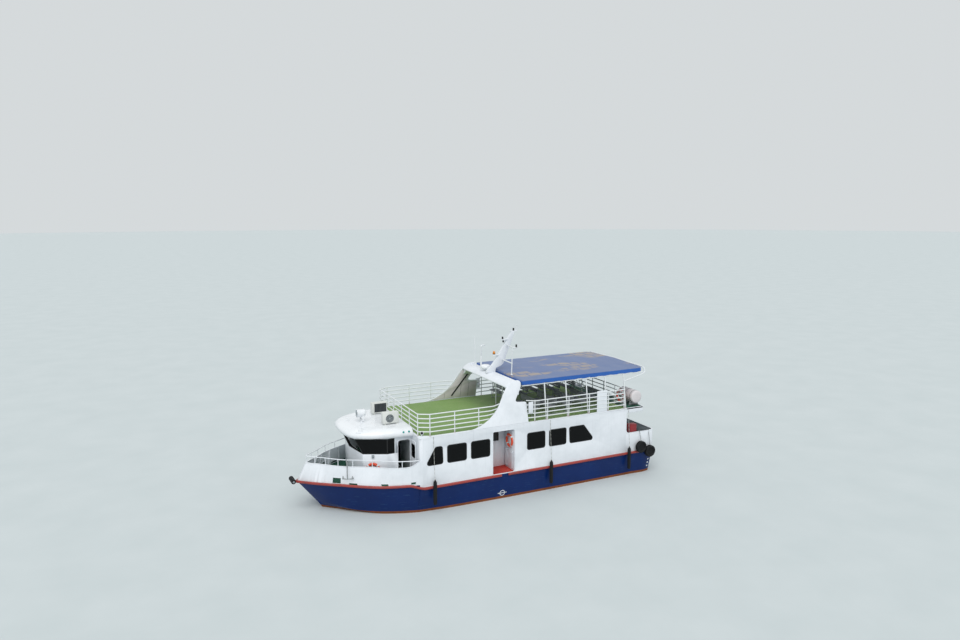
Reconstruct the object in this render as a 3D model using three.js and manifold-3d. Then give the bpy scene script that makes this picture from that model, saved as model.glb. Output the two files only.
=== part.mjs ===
// Harbour passenger ferry, full size, in millimetres.
// X points forward, Y to port and Z up. Z = 0 is the waterline and X = 0 is amidships.
import * as THREE from 'three';
import { mergeVertices } from 'three/addons/utils/BufferGeometryUtils.js';
import Module from 'manifold-3d';

const wasm = await Module();
wasm.setup();

// Driving dimensions.
const GAP = 0.3;               // seat between pieces that touch
const HALF_BEAM = 3150;
const TRANSOM = -10050;        // top of the raked transom
const STEM_HEAD = 9230;        // stem at the strake
const DECK_AFT = 1300;         // hull top under the cabin and aft deck
const DECK_FORE = 1500;        // raised foredeck
const CABIN_FRONT = 4050;
const CABIN_AFT = -8100;
const SIDE_WALL = 60;          // plate, stiffener and lining of a side
const MAIN_DECK = 1340;        // top of the main deck
const UPPER_DECK = 3850;       // top of the upper deck
const UPPER_SLAB = 80;
const OVERHANG_AFT = -9230;    // aft edge of the upper deck
const RAIL_TOP = 4940;
const RAIL_PIPE = 24;          // pipe radius
const BULWARK_TOP = 2390;
const HOUSE_HALF = 2050;       // half width of the wheelhouse
const BROW = 3700;             // lower edge of the wheelhouse roof
const RECESS = { fore: 120, aft: -1100, floor: 1380, top: 3590, back: 2060 };
const CANOPY = { fore: -2010, aft: -9530, half: 2680, hem: 5690, edge: 5930, crown: 6020 };
const KEEL = -900;

// Materials, one for each finish seen in the photograph.
const paint = (color, roughness = 0.45, metalness = 0) =>
  new THREE.MeshStandardMaterial({ color, roughness, metalness });
const BLUE = paint('#173c78');
const STRAKE_RED = paint('#a4463a');
const WHITE = paint('#e2e6ea');
const GREY = paint('#9aa0a4');
const TURF = paint('#6f9638', 0.95);
const DECK_GREEN = paint('#1d5a45', 0.7);
const RUBBER = paint('#16171a', 0.85);
const GLASS = paint('#0a0d10', 0.08);
const STEEL = paint('#b9bdc0', 0.3, 1);
const BRONZE = paint('#a7803f', 0.35, 1);
const CANOPY_BLUE = paint('#1f62b4', 0.8);
const ORANGE = paint('#e04a22', 0.6);
const AMBER = paint('#f39a12', 0.2);

const ferry = new THREE.Group();
ferry.name = 'passenger_ferry';

function addMesh(name, shape, material, position = [0, 0, 0], rotation = [0, 0, 0]) {
  const geometry = shape.isBufferGeometry ? shape : geometryOf(shape);
  const mesh = new THREE.Mesh(geometry, material);
  mesh.name = name;
  mesh.position.set(...position);
  mesh.rotation.set(...rotation);
  ferry.add(mesh);
}

// The port piece and its mirror image to starboard.
function addPair(name, shape, material, position = [0, 0, 0]) {
  const geometry = shape.isBufferGeometry ? shape : geometryOf(shape);
  addMesh(`${name}_port`, geometry, material, position);
  addMesh(`${name}_starboard`, mirrored(geometry), material, [position[0], -position[1], position[2]]);
}

function mirrored(geometry) {
  const copy = geometry.clone().scale(1, -1, 1);
  const index = copy.index.array;
  for (let i = 0; i < index.length; i += 3) [index[i], index[i + 1]] = [index[i + 1], index[i]];
  return copy;
}

// Solids for joining and cutting.
function solid(geometry) {
  const bare = geometry.clone();
  bare.deleteAttribute('normal');
  bare.deleteAttribute('uv');
  const welded = mergeVertices(bare, 1e-3);
  return new wasm.Manifold(new wasm.Mesh({
    numProp: 3,
    vertProperties: new Float32Array(welded.attributes.position.array),
    triVerts: new Uint32Array(welded.index.array),
  }));
}

function geometryOf(body) {
  const mesh = body.getMesh();
  const geometry = new THREE.BufferGeometry();
  geometry.setAttribute('position', new THREE.BufferAttribute(new Float32Array(mesh.vertProperties), 3));
  geometry.setIndex(new THREE.BufferAttribute(new Uint32Array(mesh.triVerts), 1));
  return geometry;
}

const join = (...bodies) => bodies.flat().reduce((sum, body) => sum.add(body));
const cut = (body, ...tools) => tools.flat().reduce((rest, tool) => rest.subtract(tool), body);

function box(x0, x1, y0, y1, z0, z1) {
  const geometry = new THREE.BoxGeometry(x1 - x0, y1 - y0, z1 - z0);
  return solid(geometry.translate((x0 + x1) / 2, (y0 + y1) / 2, (z0 + z1) / 2));
}

// A round bar from one point to another.
function rod(from, to, radius, sides = 8, endRadius = radius) {
  const a = new THREE.Vector3(...from);
  const b = new THREE.Vector3(...to);
  const along = b.clone().sub(a);
  const geometry = new THREE.CylinderGeometry(endRadius, radius, along.length(), sides);
  geometry.applyQuaternion(new THREE.Quaternion().setFromUnitVectors(
    new THREE.Vector3(0, 1, 0), along.clone().normalize()));
  const middle = a.add(b).multiplyScalar(0.5);
  return solid(geometry.translate(middle.x, middle.y, middle.z));
}

// A flat outline pushed along one axis. Points are [x, z] along y, [x, y] along z, [y, z] along x.
function prism(points, axis, from, to) {
  const shape = new THREE.Shape(points.map(([u, v]) => new THREE.Vector2(u, v)));
  const geometry = new THREE.ExtrudeGeometry(shape, { depth: to - from, bevelEnabled: false });
  if (axis === 'y') geometry.rotateX(Math.PI / 2).translate(0, to, 0);
  if (axis === 'z') geometry.translate(0, 0, from);
  if (axis === 'x') {
    const X = new THREE.Vector3(1, 0, 0), Y = new THREE.Vector3(0, 1, 0), Z = new THREE.Vector3(0, 0, 1);
    geometry.applyMatrix4(new THREE.Matrix4().makeBasis(Y, Z, X)).translate(from, 0, 0);
  }
  return solid(geometry);
}

// Rounds each corner of a polygon with a short curve.
function rounded(points, radius, steps = 3) {
  return points.flatMap(([x, y], i) => {
    const corner = new THREE.Vector2(x, y);
    const before = new THREE.Vector2(...points.at(i - 1));
    const after = new THREE.Vector2(...points[(i + 1) % points.length]);
    const curve = new THREE.QuadraticBezierCurve(
      corner.clone().add(before.sub(corner).setLength(radius)), corner,
      corner.clone().add(after.sub(corner).setLength(radius)));
    return curve.getPoints(steps).map((p) => [p.x, p.y]);
  });
}

// A closed skin through rings that all have the same number of points.
function loft(rings) {
  const n = rings[0].length;
  const index = [];
  for (let r = 0; r + 1 < rings.length; r++) {
    for (let i = 0; i < n; i++) {
      const a = r * n + i, b = r * n + (i + 1) % n;
      index.push(a, b, b + n, a, b + n, a + n);
    }
  }
  const last = (rings.length - 1) * n;
  for (let i = 1; i + 1 < n; i++) {
    index.push(0, i + 1, i, last, last + i, last + i + 1);
  }
  const points = rings.flat();
  const p = (i) => new THREE.Vector3(...points[i]);
  let volume = 0;
  for (let i = 0; i < index.length; i += 3) {
    volume += p(index[i]).dot(p(index[i + 1]).cross(p(index[i + 2])));
  }
  if (volume < 0) index.reverse();
  const geometry = new THREE.BufferGeometry();
  geometry.setAttribute('position', new THREE.Float32BufferAttribute(points.flat(), 3));
  geometry.setIndex(index);
  return solid(geometry);
}

// Unit vectors to the left of a path, lengthened at its corners as a mitre.
function mitres(path) {
  return path.map((point, i) => {
    const before = path[Math.max(i - 1, 0)], after = path[Math.min(i + 1, path.length - 1)];
    const into = new THREE.Vector2(point[0] - before[0], point[1] - before[1]);
    const out = new THREE.Vector2(after[0] - point[0], after[1] - point[1]);
    if (into.length() < 1) into.copy(out);
    if (out.length() < 1) out.copy(into);
    const left = into.normalize().clone().add(out.normalize());
    left.set(-left.y, left.x).normalize();
    const square = new THREE.Vector2(-into.y, into.x);
    return left.divideScalar(Math.max(left.dot(square), 0.4));
  });
}

// A section of [out, up] points carried along a path. Out is to the left of the path.
function sweep(path, section) {
  const left = mitres(path);
  return loft(path.map(([x, y, z], i) =>
    section.map(([out, up]) => [x + left[i].x * out, y + left[i].y * out, z + up])));
}

const ring = (radius, sides = 8) => Array.from({ length: sides }, (_, i) => {
  const angle = 2 * Math.PI * (i + 0.5) / sides;
  return [radius * Math.cos(angle), radius * Math.sin(angle)];
});
const pipe = (path, radius = RAIL_PIPE, sides = 6) => sweep(path, ring(radius, sides));

// A half path from port aft to the bow, continued to starboard aft.
const bothSides = (half) =>
  [...half, ...half.filter((p) => p[1] > 1).reverse().map(([x, y, z]) => [x, -y, z])];

// Propeller shafts, rudders and the foredeck hatch, which the hull has bores, brackets and a coaming for.
// A bore that a round bar of 24 sides turns in.
const boreFor = (radius) => (radius + GAP) / Math.cos(Math.PI / 24);
const SHAFT = { y: 1050, x: -8300, z: -840, slope: 0.14, radius: 35, inner: 2500, bracket: 330 };
const RUDDER = { x: -8900, fore: 210, aft: 330, top: -500, foot: -1160, stock: 35, stockTop: -250, half: 26 };
const PROPELLER = { radius: 350, hub: 62 };
const HATCH = { aft: 7000, fore: 7560, half: 300, height: 140 };

// A point on a shaft's centreline, some way forward of the propeller.
const shaftPoint = (ahead, side) => [SHAFT.x + ahead, side * SHAFT.y, SHAFT.z + ahead * SHAFT.slope];

function shaftBracket(side) {
  const [x, y, z] = shaftPoint(SHAFT.bracket, side);
  const strut = prism([[x - 70, z], [x + 70, z], [x + 150, z + 420], [x - 30, z + 420]], 'y', y - 18, y + 18);
  return join(strut, rod(shaftPoint(SHAFT.bracket - 110, side), shaftPoint(SHAFT.bracket + 110, side), 68, 14));
}

function hatchCoaming() {
  const h = HATCH;
  const frame = box(h.aft - 40, h.fore + 40, -h.half - 40, h.half + 40, DECK_FORE - 20,
    DECK_FORE + h.height - GAP);
  const lugs = [-1, 1].flatMap((side) => [-1, 1].map((end) => {
    const y = side * 200 + end * 62;
    return box(h.aft - 104, h.aft - 56, y - 8, y + 8, DECK_FORE - 20, DECK_FORE + h.height + 49);
  }));
  return join(frame, lugs);
}

// Hull: hard-chine, V-bottomed, with a raised foredeck, a keel and an engine room.
const SHEER = [
  // x, y of the hull's top edge on the port side, aft to forward
  [TRANSOM, 2880], [-9970, 3070], [-9780, HALF_BEAM], [CABIN_FRONT, HALF_BEAM], [4280, 3117], [4500, 3070],
  [4850, 2975], [5200, 2865], [5550, 2737], [5890, 2590], [6260, 2372], [6620, 2120], [6980, 1850], [7330, 1580],
  [7620, 1368], [7900, 1170], [8180, 958], [8450, 740], [8670, 556], [8880, 370], [STEM_HEAD, 40],
];
const QUARTER = SHEER.slice(0, 3);
const BOW = SHEER.slice(4);
// Keel x and z, then chine x, y and z, at each point of the bow's sheer.
const FOREFOOT = [
  [4290, -884, 4270, 2684, -171], [4550, -875, 4500, 2620, -150], [4870, -861, 4830, 2517, -107],
  [5200, -845, 5150, 2400, -60], [5530, -825, 5500, 2249, -19], [5850, -800, 5850, 2080, 20],
  [6180, -757, 6195, 1880, 69], [6500, -700, 6530, 1660, 120], [6800, -636, 6865, 1428, 170],
  [7080, -560, 7180, 1180, 220], [7235, -507, 7355, 1018, 251], [7380, -450, 7520, 860, 280],
  [7515, -392, 7686, 709, 310], [7640, -330, 7850, 560, 340], [7733, -272, 7983, 426, 370],
  [7820, -210, 8120, 290, 400], [7980, -100, 8370, 40, 460],
];
const ENGINE_ROOM = { aft: -7000, fore: -3600, half: 1700, floor: -330 };

function hull() {
  const stations = [
    // xKeel, zKeel, xChine, yChine, zChine, xSheer, ySheer, zSheer
    [-9880, -480, -9900, 2760, -80, ...SHEER[0], DECK_AFT],
    [-9800, -485, -9820, 2900, -85, ...SHEER[1], DECK_AFT],
    [-9650, -500, -9650, 2960, -90, ...SHEER[2], DECK_AFT],
    [-4000, -850, -4000, 2980, -260, -4000, HALF_BEAM, DECK_AFT],
    [2000, KEEL, 2000, 2930, -250, 2000, HALF_BEAM, DECK_AFT],
    [4040, -890, 4040, 2740, -190, CABIN_FRONT, HALF_BEAM, DECK_AFT],
    [4060, -890, 4060, 2738, -190, CABIN_FRONT + GAP, HALF_BEAM, DECK_FORE],
    ...BOW.map((sheer, i) => [...FOREFOOT[i], ...sheer, DECK_FORE]),
  ];
  const skin = loft(stations.map(([xk, zk, xc, yc, zc, xs, ys, zs]) => [
    [xk, 40, zk], [xc, yc, zc], [xs, ys, zs], [xs, -ys, zs], [xc, -yc, zc], [xk, -40, zk]]));
  const keel = prism([[-8200, -560], [-7600, -1150], [5200, -1080], [6600, -640], [2000, -800]], 'y', -70, 70);
  const room = ENGINE_ROOM;
  const hatchway = box(HATCH.aft, HATCH.fore, -HATCH.half, HATCH.half, 700, 1700);
  const bores = [-1, 1].flatMap((side) => [
    rod(shaftPoint(0, side), shaftPoint(SHAFT.inner + 20, side), boreFor(SHAFT.radius), 24),
    rod([RUDDER.x, side * SHAFT.y, RUDDER.top], [RUDDER.x, side * SHAFT.y, RUDDER.stockTop + 5],
      boreFor(RUDDER.stock), 24)]);
  const body = join(skin, keel, hatchCoaming(), [-1, 1].map(shaftBracket));
  return cut(body, box(room.aft, room.fore, -room.half, room.half, room.floor, 1600), hatchway, bores);
}
addMesh('hull', hull(), BLUE);

function mainDeck() {
  return prism([[-9960, -2900], [-9720, -3080], [CABIN_FRONT - 20, -3080], [CABIN_FRONT - 20, 3080],
    [-9720, 3080], [-9960, 2900]], 'z', DECK_AFT + GAP, MAIN_DECK);
}
addMesh('main_deck', mainDeck(), DECK_GREEN);

function engines() {
  const room = ENGINE_ROOM;
  const blocks = [-1, 1].map((side) =>
    box(-6600, -4700, side * 1050 - 420, side * 1050 + 420, room.floor + GAP, 750));
  return join(blocks, box(-6200, -6000, -1050, 1050, room.floor + GAP, room.floor + 120));
}
addMesh('engines', engines(), GREY);

// Rubbing strake, with a gap on each side at the boarding step and vertical fenders hung on it.
const STRAKE = { out: 90, half: 60, gapFore: -350, gapAft: -740 };
const strakeSection = [[GAP, -STRAKE.half], [GAP, STRAKE.half], [70, STRAKE.half],
  [STRAKE.out, 40], [STRAKE.out, -40], [70, -STRAKE.half]];
const FENDER = { radius: 90, top: 1650, foot: 450, y: HALF_BEAM + STRAKE.out + 85 };
const FENDERS_FORE = [3350];
const FENDERS_AFT = [-3200, -8200];

// A vertical rubber fender that lies on the strake, hung by a taut rope from the upper deck's edge.
function hungFender(x, side) {
  const y = side * FENDER.y, ropeTop = UPPER_DECK - 40;
  return join(
    rod([x, y, FENDER.foot], [x, y, FENDER.top], FENDER.radius, 12),
    rod([x, y, FENDER.top - 5], [x, y, FENDER.top + 70], 35, 8),
    rod([x, y, FENDER.top], [x, side * (HALF_BEAM + 12), ropeTop], 9, 6));
}
const fendersAt = (stations) => stations.flatMap((x) => [-1, 1].map((side) => hungFender(x, side)));

function strakeFore() {
  const z = (level) => level - STRAKE.half;
  const half = [[STRAKE.gapFore, HALF_BEAM, z(1350)], [3800, HALF_BEAM, z(1350)],
    [CABIN_FRONT + 10, HALF_BEAM, z(1441)], [4280, 3117, z(1520)],
    ...BOW.slice(1).map(([x, y]) => [x, y, z(1570)])];
  return join(sweep(bothSides(half), strakeSection), fendersAt(FENDERS_FORE));
}

function strakeAft() {
  const z = 1350 - STRAKE.half;
  const half = [[STRAKE.gapAft, -HALF_BEAM, z], ...SHEER.slice(0, 3).reverse().map(([x, y]) => [x, -y, z])];
  const path = [...half, ...half.slice().reverse().map(([x, y]) => [x, -y, z])];
  return join(sweep(path, strakeSection), fendersAt(FENDERS_AFT));
}
addMesh('rubbing_strake_fore', strakeFore(), STRAKE_RED);
addMesh('rubbing_strake_aft', strakeAft(), STRAKE_RED);

// Bow: bulwark that leans in, pipe rail, rubber bow fender and the deck gear.
const BULWARK = [
  // xFoot, yFoot, xTop, yTop, zTop on the port side, aft to forward
  [CABIN_FRONT - 10, 3150, CABIN_FRONT - 10, 3150, 2700],
  [4280, 3117, 4290, 3108, 2530], [4500, 3070, 4520, 3048, 2435], [4850, 2975, 4900, 2905, 2400],
  [5200, 2865, 5300, 2705, 2392], [5550, 2737, 5710, 2430, BULWARK_TOP], [5890, 2590, 6100, 2140, BULWARK_TOP],
  [6260, 2372, 6450, 1925, BULWARK_TOP], [6620, 2120, 6760, 1745, BULWARK_TOP],
  [6980, 1850, 7030, 1590, BULWARK_TOP], [7330, 1580, 7300, 1420, BULWARK_TOP],
  [7620, 1368, 7530, 1245, BULWARK_TOP], [7900, 1170, 7750, 1045, BULWARK_TOP],
  [8180, 958, 7960, 830, BULWARK_TOP], [8450, 740, 8180, 605, BULWARK_TOP],
  [8670, 556, 8400, 420, BULWARK_TOP], [8880, 370, 8600, 250, BULWARK_TOP], [STEM_HEAD, 0, 8780, 0, BULWARK_TOP],
];
const BULWARK_PLATE = 50;

function bowBulwark() {
  const feet = bothSides(BULWARK.map(([x, y]) => [x, y, 0]));
  const tops = bothSides(BULWARK.map(([, , x, y, z]) => [x, y, z]));
  const left = mitres(feet);
  const shell = loft(feet.map(([x, y], i) => {
    const [tx, ty, tz] = tops[i];
    const inX = -left[i].x * BULWARK_PLATE, inY = -left[i].y * BULWARK_PLATE;
    const foot = DECK_FORE + GAP;
    return [[x, y, foot], [tx, ty, tz], [tx + inX, ty + inY, tz], [x + inX, y + inY, foot]];
  }));
  return cut(shell, box(0, CABIN_FRONT + GAP, -4000, 4000, 0, 4000));
}
addMesh('bow_bulwark', bowBulwark(), WHITE);

const RAIL_PATH = [[4086, 3120, 2740], ...BULWARK.slice(1).map(([, , x, y]) => [
  x - (y > 0 ? 12 : 40), Math.max(y - 26, 0), 2720])];
function bowRail() {
  const z = RAIL_PATH[0][2];
  const rail = pipe(bothSides(RAIL_PATH));
  const feet = [3, 6, 10, 13, 15].map((i) => [RAIL_PATH[i][0], RAIL_PATH[i][1], BULWARK[i][4] + (i === 3 ? 3 : 0)]);
  const posts = feet.flatMap(([x, y, foot]) =>
    [-1, 1].map((side) => rod([x, side * y, foot + GAP], [x, side * y, z], 20, 8)));
  return join(rail, posts, rod([8745, 0, BULWARK_TOP + GAP], [8745, 0, z], 20, 8));
}
addMesh('bow_rail', bowRail(), WHITE);

function bowFender() {
  const x = STEM_HEAD + 240, z = 1600, back = STEM_HEAD + STRAKE.out + GAP;
  return join(
    rod([x, -330, z], [x, 330, z], 115, 14),
    prism([[back, 1480], [x + 40, 1520], [x + 40, 1560], [back, 1560]], 'y', -38, 38));
}
addMesh('bow_fender', bowFender(), RUBBER);

function windlass() {
  return join(
    box(7900, 8250, -180, 180, DECK_FORE + GAP, 1620),
    box(7960, 8190, -110, 110, 1600, 1900),
    rod([8075, -330, 1800], [8075, 330, 1800], 95, 12),
    [-1, 1].map((side) => rod([8075, side * 300, 1800], [8075, side * 340, 1800], 140, 12)));
}
addMesh('windlass', windlass(), GREY);

function foredeckHatch() {
  const h = HATCH, back = h.aft - HINGE.x;
  const lid = box(back - 40, h.fore + 60 - HINGE.x, -h.half - 60, h.half + 60, -25, 25);
  const knuckles = [-1, 1].map((side) => rod([0, side * 200 - 50, 0], [0, side * 200 + 50, 0], 22, 10));
  const straps = [-1, 1].map((side) => box(0, back - 30, side * 200 - 50, side * 200 + 50, -12, 12));
  return join(lid, knuckles, straps);
}
const HINGE = { x: HATCH.aft - 80, z: DECK_FORE + HATCH.height + 25 };
addMesh('foredeck_hatch', foredeckHatch(), DECK_GREEN, [HINGE.x, 0, HINGE.z]);

// Anchor hung from the rail over the port bulwark, stock and flukes outboard.
function anchor() {
  const top = [7195, 1640, 2700], crown = [7235, 1800, 1840];
  const body = join(
    rod(top, crown, 28, 8),
    rod([7195, 1480, 2720], [7195, 1650, 2700], 22, 8),
    rod([7000, 1925, 1880], [7450, 1680, 1880], 22, 8),
    [-1, 1].map((end) => box(7225 + end * 170 - 60, 7225 + end * 170 + 60, 1802 - end * 93 - 18, 1802 - end * 93 + 18,
      1860, 2040)));
  return cut(body, pipe(bothSides(RAIL_PATH), RAIL_PIPE + GAP));
}
addMesh('anchor', anchor(), GREY);

// Wheelhouse: shell with a window band, glass, roof with its brow, console and two doors.
const HOUSE_PLAN = [
  // x, y of the port half, aft to forward
  [CABIN_FRONT + GAP, HOUSE_HALF], [5300, HOUSE_HALF + 20], [6370, 1550], [6600, 0],
];
const HOUSE_DOOR = { aft: 4130, fore: 4750, sill: 1620, top: 3500 };
const BAND = { low: 2900, high: 3660 };

// Heads of the front panes, which lean forward under the brow from the same corners.
const HOUSE_HEAD = [[CABIN_FRONT + GAP, HOUSE_HALF], [5300, HOUSE_HALF + 20], [6750, 1365.3], [6952.6, 0]];
function housePlan(z) {
  const t = (z - BAND.low) / (BROW - BAND.low);
  return HOUSE_PLAN.map(([x, y], i) => [x + (HOUSE_HEAD[i][0] - x) * t, y + (HOUSE_HEAD[i][1] - y) * t, z]);
}

// A skin between two heights that follows the leaning plan, between two distances inside it, from a share of
// the first side forward.
function houseSkin(low, high, near, far, skip = 0) {
  const [foot, head] = [low, high].map((z) => {
    const half = housePlan(z);
    half[0] = half[0].map((c, k) => c + (half[1][k] - c) * skip);
    const path = bothSides(half);
    const left = mitres(path);
    return path.map(([x, y], i) => [near, far].map((d) => [x - left[i].x * d, y - left[i].y * d, z]));
  });
  return loft(foot.map(([a, b], i) => [a, head[i][0], head[i][1], b]));
}

// A window between two corners of the plan, with the widths of the frame at its ends.
function opening(i, from, margin, side) {
  return loft([BAND.low, BAND.high].map((z) => {
    const path = housePlan(z);
    const [a, b] = [new THREE.Vector2(from ?? path[i][0], path[i][1]), new THREE.Vector2(...path[i + 1])];
    const along = b.clone().sub(a).normalize(), out = new THREE.Vector2(-along.y, along.x).multiplyScalar(150);
    a.addScaledVector(along, margin[0]);
    b.addScaledVector(along, -margin[1]);
    return [[a, 1], [b, 1], [b, -1], [a, -1]].map(([p, k]) => [p.x + k * out.x, side * (p.y + k * out.y), z]);
  }));
}

function wheelhouseWalls() {
  const z0 = DECK_FORE + GAP;
  const path = bothSides(HOUSE_PLAN.map(([x, y]) => [x, y, 0]));
  const foot = sweep(path, [[0, z0], [0, BAND.low], [-SIDE_WALL, BAND.low], [-SIDE_WALL, z0]]);
  const head = houseSkin(BAND.low, BROW - GAP, 0, SIDE_WALL);
  const tools = [-1, 1].flatMap((side) => [
    opening(0, 4930, [0, 40], side), opening(1, null, [40, 50], side), opening(2, null, [50, 30], side)]);
  const door = HOUSE_DOOR;
  const doorway = box(door.aft, door.fore, -2400, 2400, door.sill, door.top);
  const hinges = [-1, 1].flatMap((side) => [1800, 2560, 3320].map((z) => doorPin(side, z)));
  return join(cut(join(foot, head), tools, doorway), hinges);
}

// Pins on the jamb, each with a bracket to the wall below the leaf's knuckle.
const LEAF = { x: 4096, y: HOUSE_HALF + 40, thick: 36, width: 680, pin: 9 };
function doorPin(side, z) {
  const y = side * LEAF.y;
  return join(
    rod([LEAF.x, y, z - 60], [LEAF.x, y, z + 45], LEAF.pin, 10),
    box(LEAF.x - 14, LEAF.x + 14, Math.min(side * (HOUSE_HALF - 20), y), Math.max(side * (HOUSE_HALF - 20), y),
      z - 80, z - 50),
    rod([LEAF.x, y, z - 80], [LEAF.x, y, z - 50], 18, 12));
}
addMesh('wheelhouse_walls', wheelhouseWalls(), WHITE);

function wheelhouseGlass() {
  const near = SIDE_WALL + GAP;
  return houseSkin(BAND.low - 40, BAND.high + 25, near, near + 12, 0.6);
}
addMesh('wheelhouse_glass', wheelhouseGlass(), GLASS);

const ROOF_TOP = 4120;
const LAMP = { x: 5940, y: 120, pivot: 4560, arm: 235 };
function searchlightYoke() {
  const z0 = ROOF_TOP - 10, arm = LAMP.arm;
  return join(
    rod([LAMP.x, LAMP.y, z0], [LAMP.x, LAMP.y, z0 + 90], 90, 14),
    box(LAMP.x - 40, LAMP.x + 40, LAMP.y - arm - 20, LAMP.y + arm + 20, z0 + 80, z0 + 110),
    [-1, 1].map((side) => box(LAMP.x - 35, LAMP.x + 35, LAMP.y + side * arm - 14, LAMP.y + side * arm + 14,
      z0 + 90, LAMP.pivot + 40)),
    [-1, 1].map((side) => rod([LAMP.x, LAMP.y + side * (arm - 10), LAMP.pivot],
      [LAMP.x, LAMP.y + side * (arm + 40), LAMP.pivot], 20, 12)));
}

function wheelhouseRoof() {
  const outlines = [
    // z, then x and y of four port points from aft to the centreline
    [BROW, [[CABIN_FRONT - 250, 2290], [5450, 2090], [6800, 1380], [7050, 0]]],
    [BROW + 130, [[CABIN_FRONT - 250, 2330], [5480, 2130], [6850, 1400], [7100, 0]]],
    [ROOF_TOP, [[CABIN_FRONT - 250, 1900], [5250, 1760], [6250, 1150], [6450, 0]]],
  ];
  const slab = loft(outlines.map(([z, half]) => {
    const points = half.map(([x, y]) => [x, y, z]);
    return [...points, ...points.slice(0, -1).reverse().map(([x, y]) => [x, -y, z])];
  }));
  const aboveHouse = box(CABIN_FRONT + 0.6, 8000, -3000, 3000, 3000, 5000);
  const lining = prism([[CABIN_FRONT - 500, -1800], [5200, -1700], [6150, -1100], [6150, 1100], [5200, 1700],
    [CABIN_FRONT - 500, 1800]], 'z', BROW - 100, 4000);
  return join(cut(slab.intersect(aboveHouse), lining), searchlightYoke());
}
addMesh('wheelhouse_roof', wheelhouseRoof(), WHITE);

function helm() {
  const deck = DECK_FORE + GAP;
  const console_ = prism([[5850, deck], [6300, deck], [6300, 2650], [6150, 2780], [5850, 2600]], 'y', -1050, 1050);
  const column = rod([5860, 0, 2450], [5700, 0, 2520], 35, 8);
  const wheel = new THREE.TorusGeometry(230, 18, 6, 18).rotateY(Math.PI / 2 - 0.25).translate(5710, 0, 2518);
  const spoke = box(5695, 5725, -225, 225, 2500, 2536);
  return join(console_, column, solid(wheel), spoke, helmSeat());
}

function helmSeat() {
  const deck = DECK_FORE + GAP;
  return join(
    box(5000, 5900, -60, 60, deck, deck + 20),
    rod([5050, 0, deck], [5050, 0, deck + 40], 260, 14),
    rod([5050, 0, deck], [5050, 0, 2110], 55, 10),
    box(4820, 5280, -250, 250, 2100, 2220),
    box(4780, 4880, -240, 240, 2180, 2800));
}
addMesh('helm', helm(), GREY);

// Stored open as in the photograph: each leaf stands out from the house against the cabin front.
function doorLeaf() {
  const leaf = box(-LEAF.thick / 2, LEAF.thick / 2, 20, LEAF.width, HOUSE_DOOR.sill - 25, HOUSE_DOOR.top + 25);
  const window = box(-100, 100, 150, LEAF.width - 110, 2700, 3330);
  const knuckles = [1800, 2560, 3320].map((z) => cut(
    join(rod([0, 0, z - 49.5], [0, 0, z + 50], 18, 12), box(-8, 8, 5, 30, z - 49.5, z + 50)),
    rod([0, 0, z - 80], [0, 0, z + 80], LEAF.pin + 1, 12)));
  return join(cut(leaf, window), knuckles);
}
addPair('wheelhouse_door', doorLeaf(), WHITE, [LEAF.x, LEAF.y, 0]);

// A lifebuoy ring, six-sided in section, whose axis is along X.
const BUOY = { radius: 300, tube: 62, depth: 62 * Math.sin(Math.PI / 3) };
const lifebuoy = () => new THREE.TorusGeometry(BUOY.radius, BUOY.tube, 6, 18).rotateY(Math.PI / 2);

// Passenger cabin: two side plates with windows and an entrance, bulkheads and recesses.
const WIN = { low: 2400, high: 3270 };
const WINDOWS = [
  // x of the lower aft, lower fore, upper fore and upper aft corners
  [2850, 3750, 3230, 2880],
  [1590, 2610, 2610, 1590],
  [300, 1330, 1330, 300],
  [-2900, -1850, -1850, -2900],
  [-4190, -3160, -3160, -4190],
  [-5960, -4430, -4380, -5290],
];
const GLASS_SPANS = { fore: [250, 3800], aft: [-6010, -1800] };

function cabinSide() {
  const plate = prism([[CABIN_AFT, DECK_AFT + GAP], [CABIN_FRONT, DECK_AFT + GAP],
    [CABIN_FRONT, UPPER_DECK - UPPER_SLAB - GAP], [CABIN_AFT, UPPER_DECK - UPPER_SLAB - GAP]],
  'y', HALF_BEAM - SIDE_WALL, HALF_BEAM);
  const holes = WINDOWS.map(([a, b, c, d]) => prism(rounded(
    [[a, WIN.low], [b, WIN.low], [c, WIN.high], [d, WIN.high]], 110), 'y', 3000, 3300));
  const r = RECESS;
  const doorway = prism(rounded([[r.aft, r.floor], [r.fore, r.floor], [r.fore, r.top], [r.aft, r.top]], 60),
    'y', 3000, 3300);
  return cut(plate, holes, doorway);
}
addPair('cabin_side', cabinSide(), WHITE);

for (const [name, [x0, x1]] of Object.entries(GLASS_SPANS)) {
  const y = HALF_BEAM - SIDE_WALL - GAP;
  addPair(`cabin_glass_${name}`, box(x0, x1, y - 12, y, WIN.low - 60, WIN.high + 60), GLASS);
}

const wallTop = UPPER_DECK - UPPER_SLAB - GAP;
const INSIDE = HALF_BEAM - SIDE_WALL - GAP;      // inner face of the side walls

function cabinFront() {
  const x1 = CABIN_FRONT - 0, x0 = CABIN_FRONT - SIDE_WALL;
  const wall = box(x0, x1, -INSIDE, INSIDE, MAIN_DECK + GAP, wallTop);
  return cut(wall, box(x0 - 50, x1 + 50, -400, 400, 1560, 3560));
}
addMesh('cabin_front', cabinFront(), WHITE);

const AFT_DOOR = { half: 380, sill: 1420, top: 3340, thick: 40, pin: 9 };
const AFT_HINGE = { x: CABIN_AFT - 45, y: AFT_DOOR.half + 20 };
const AFT_KNUCKLES = [1650, 2380, 3110];

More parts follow.
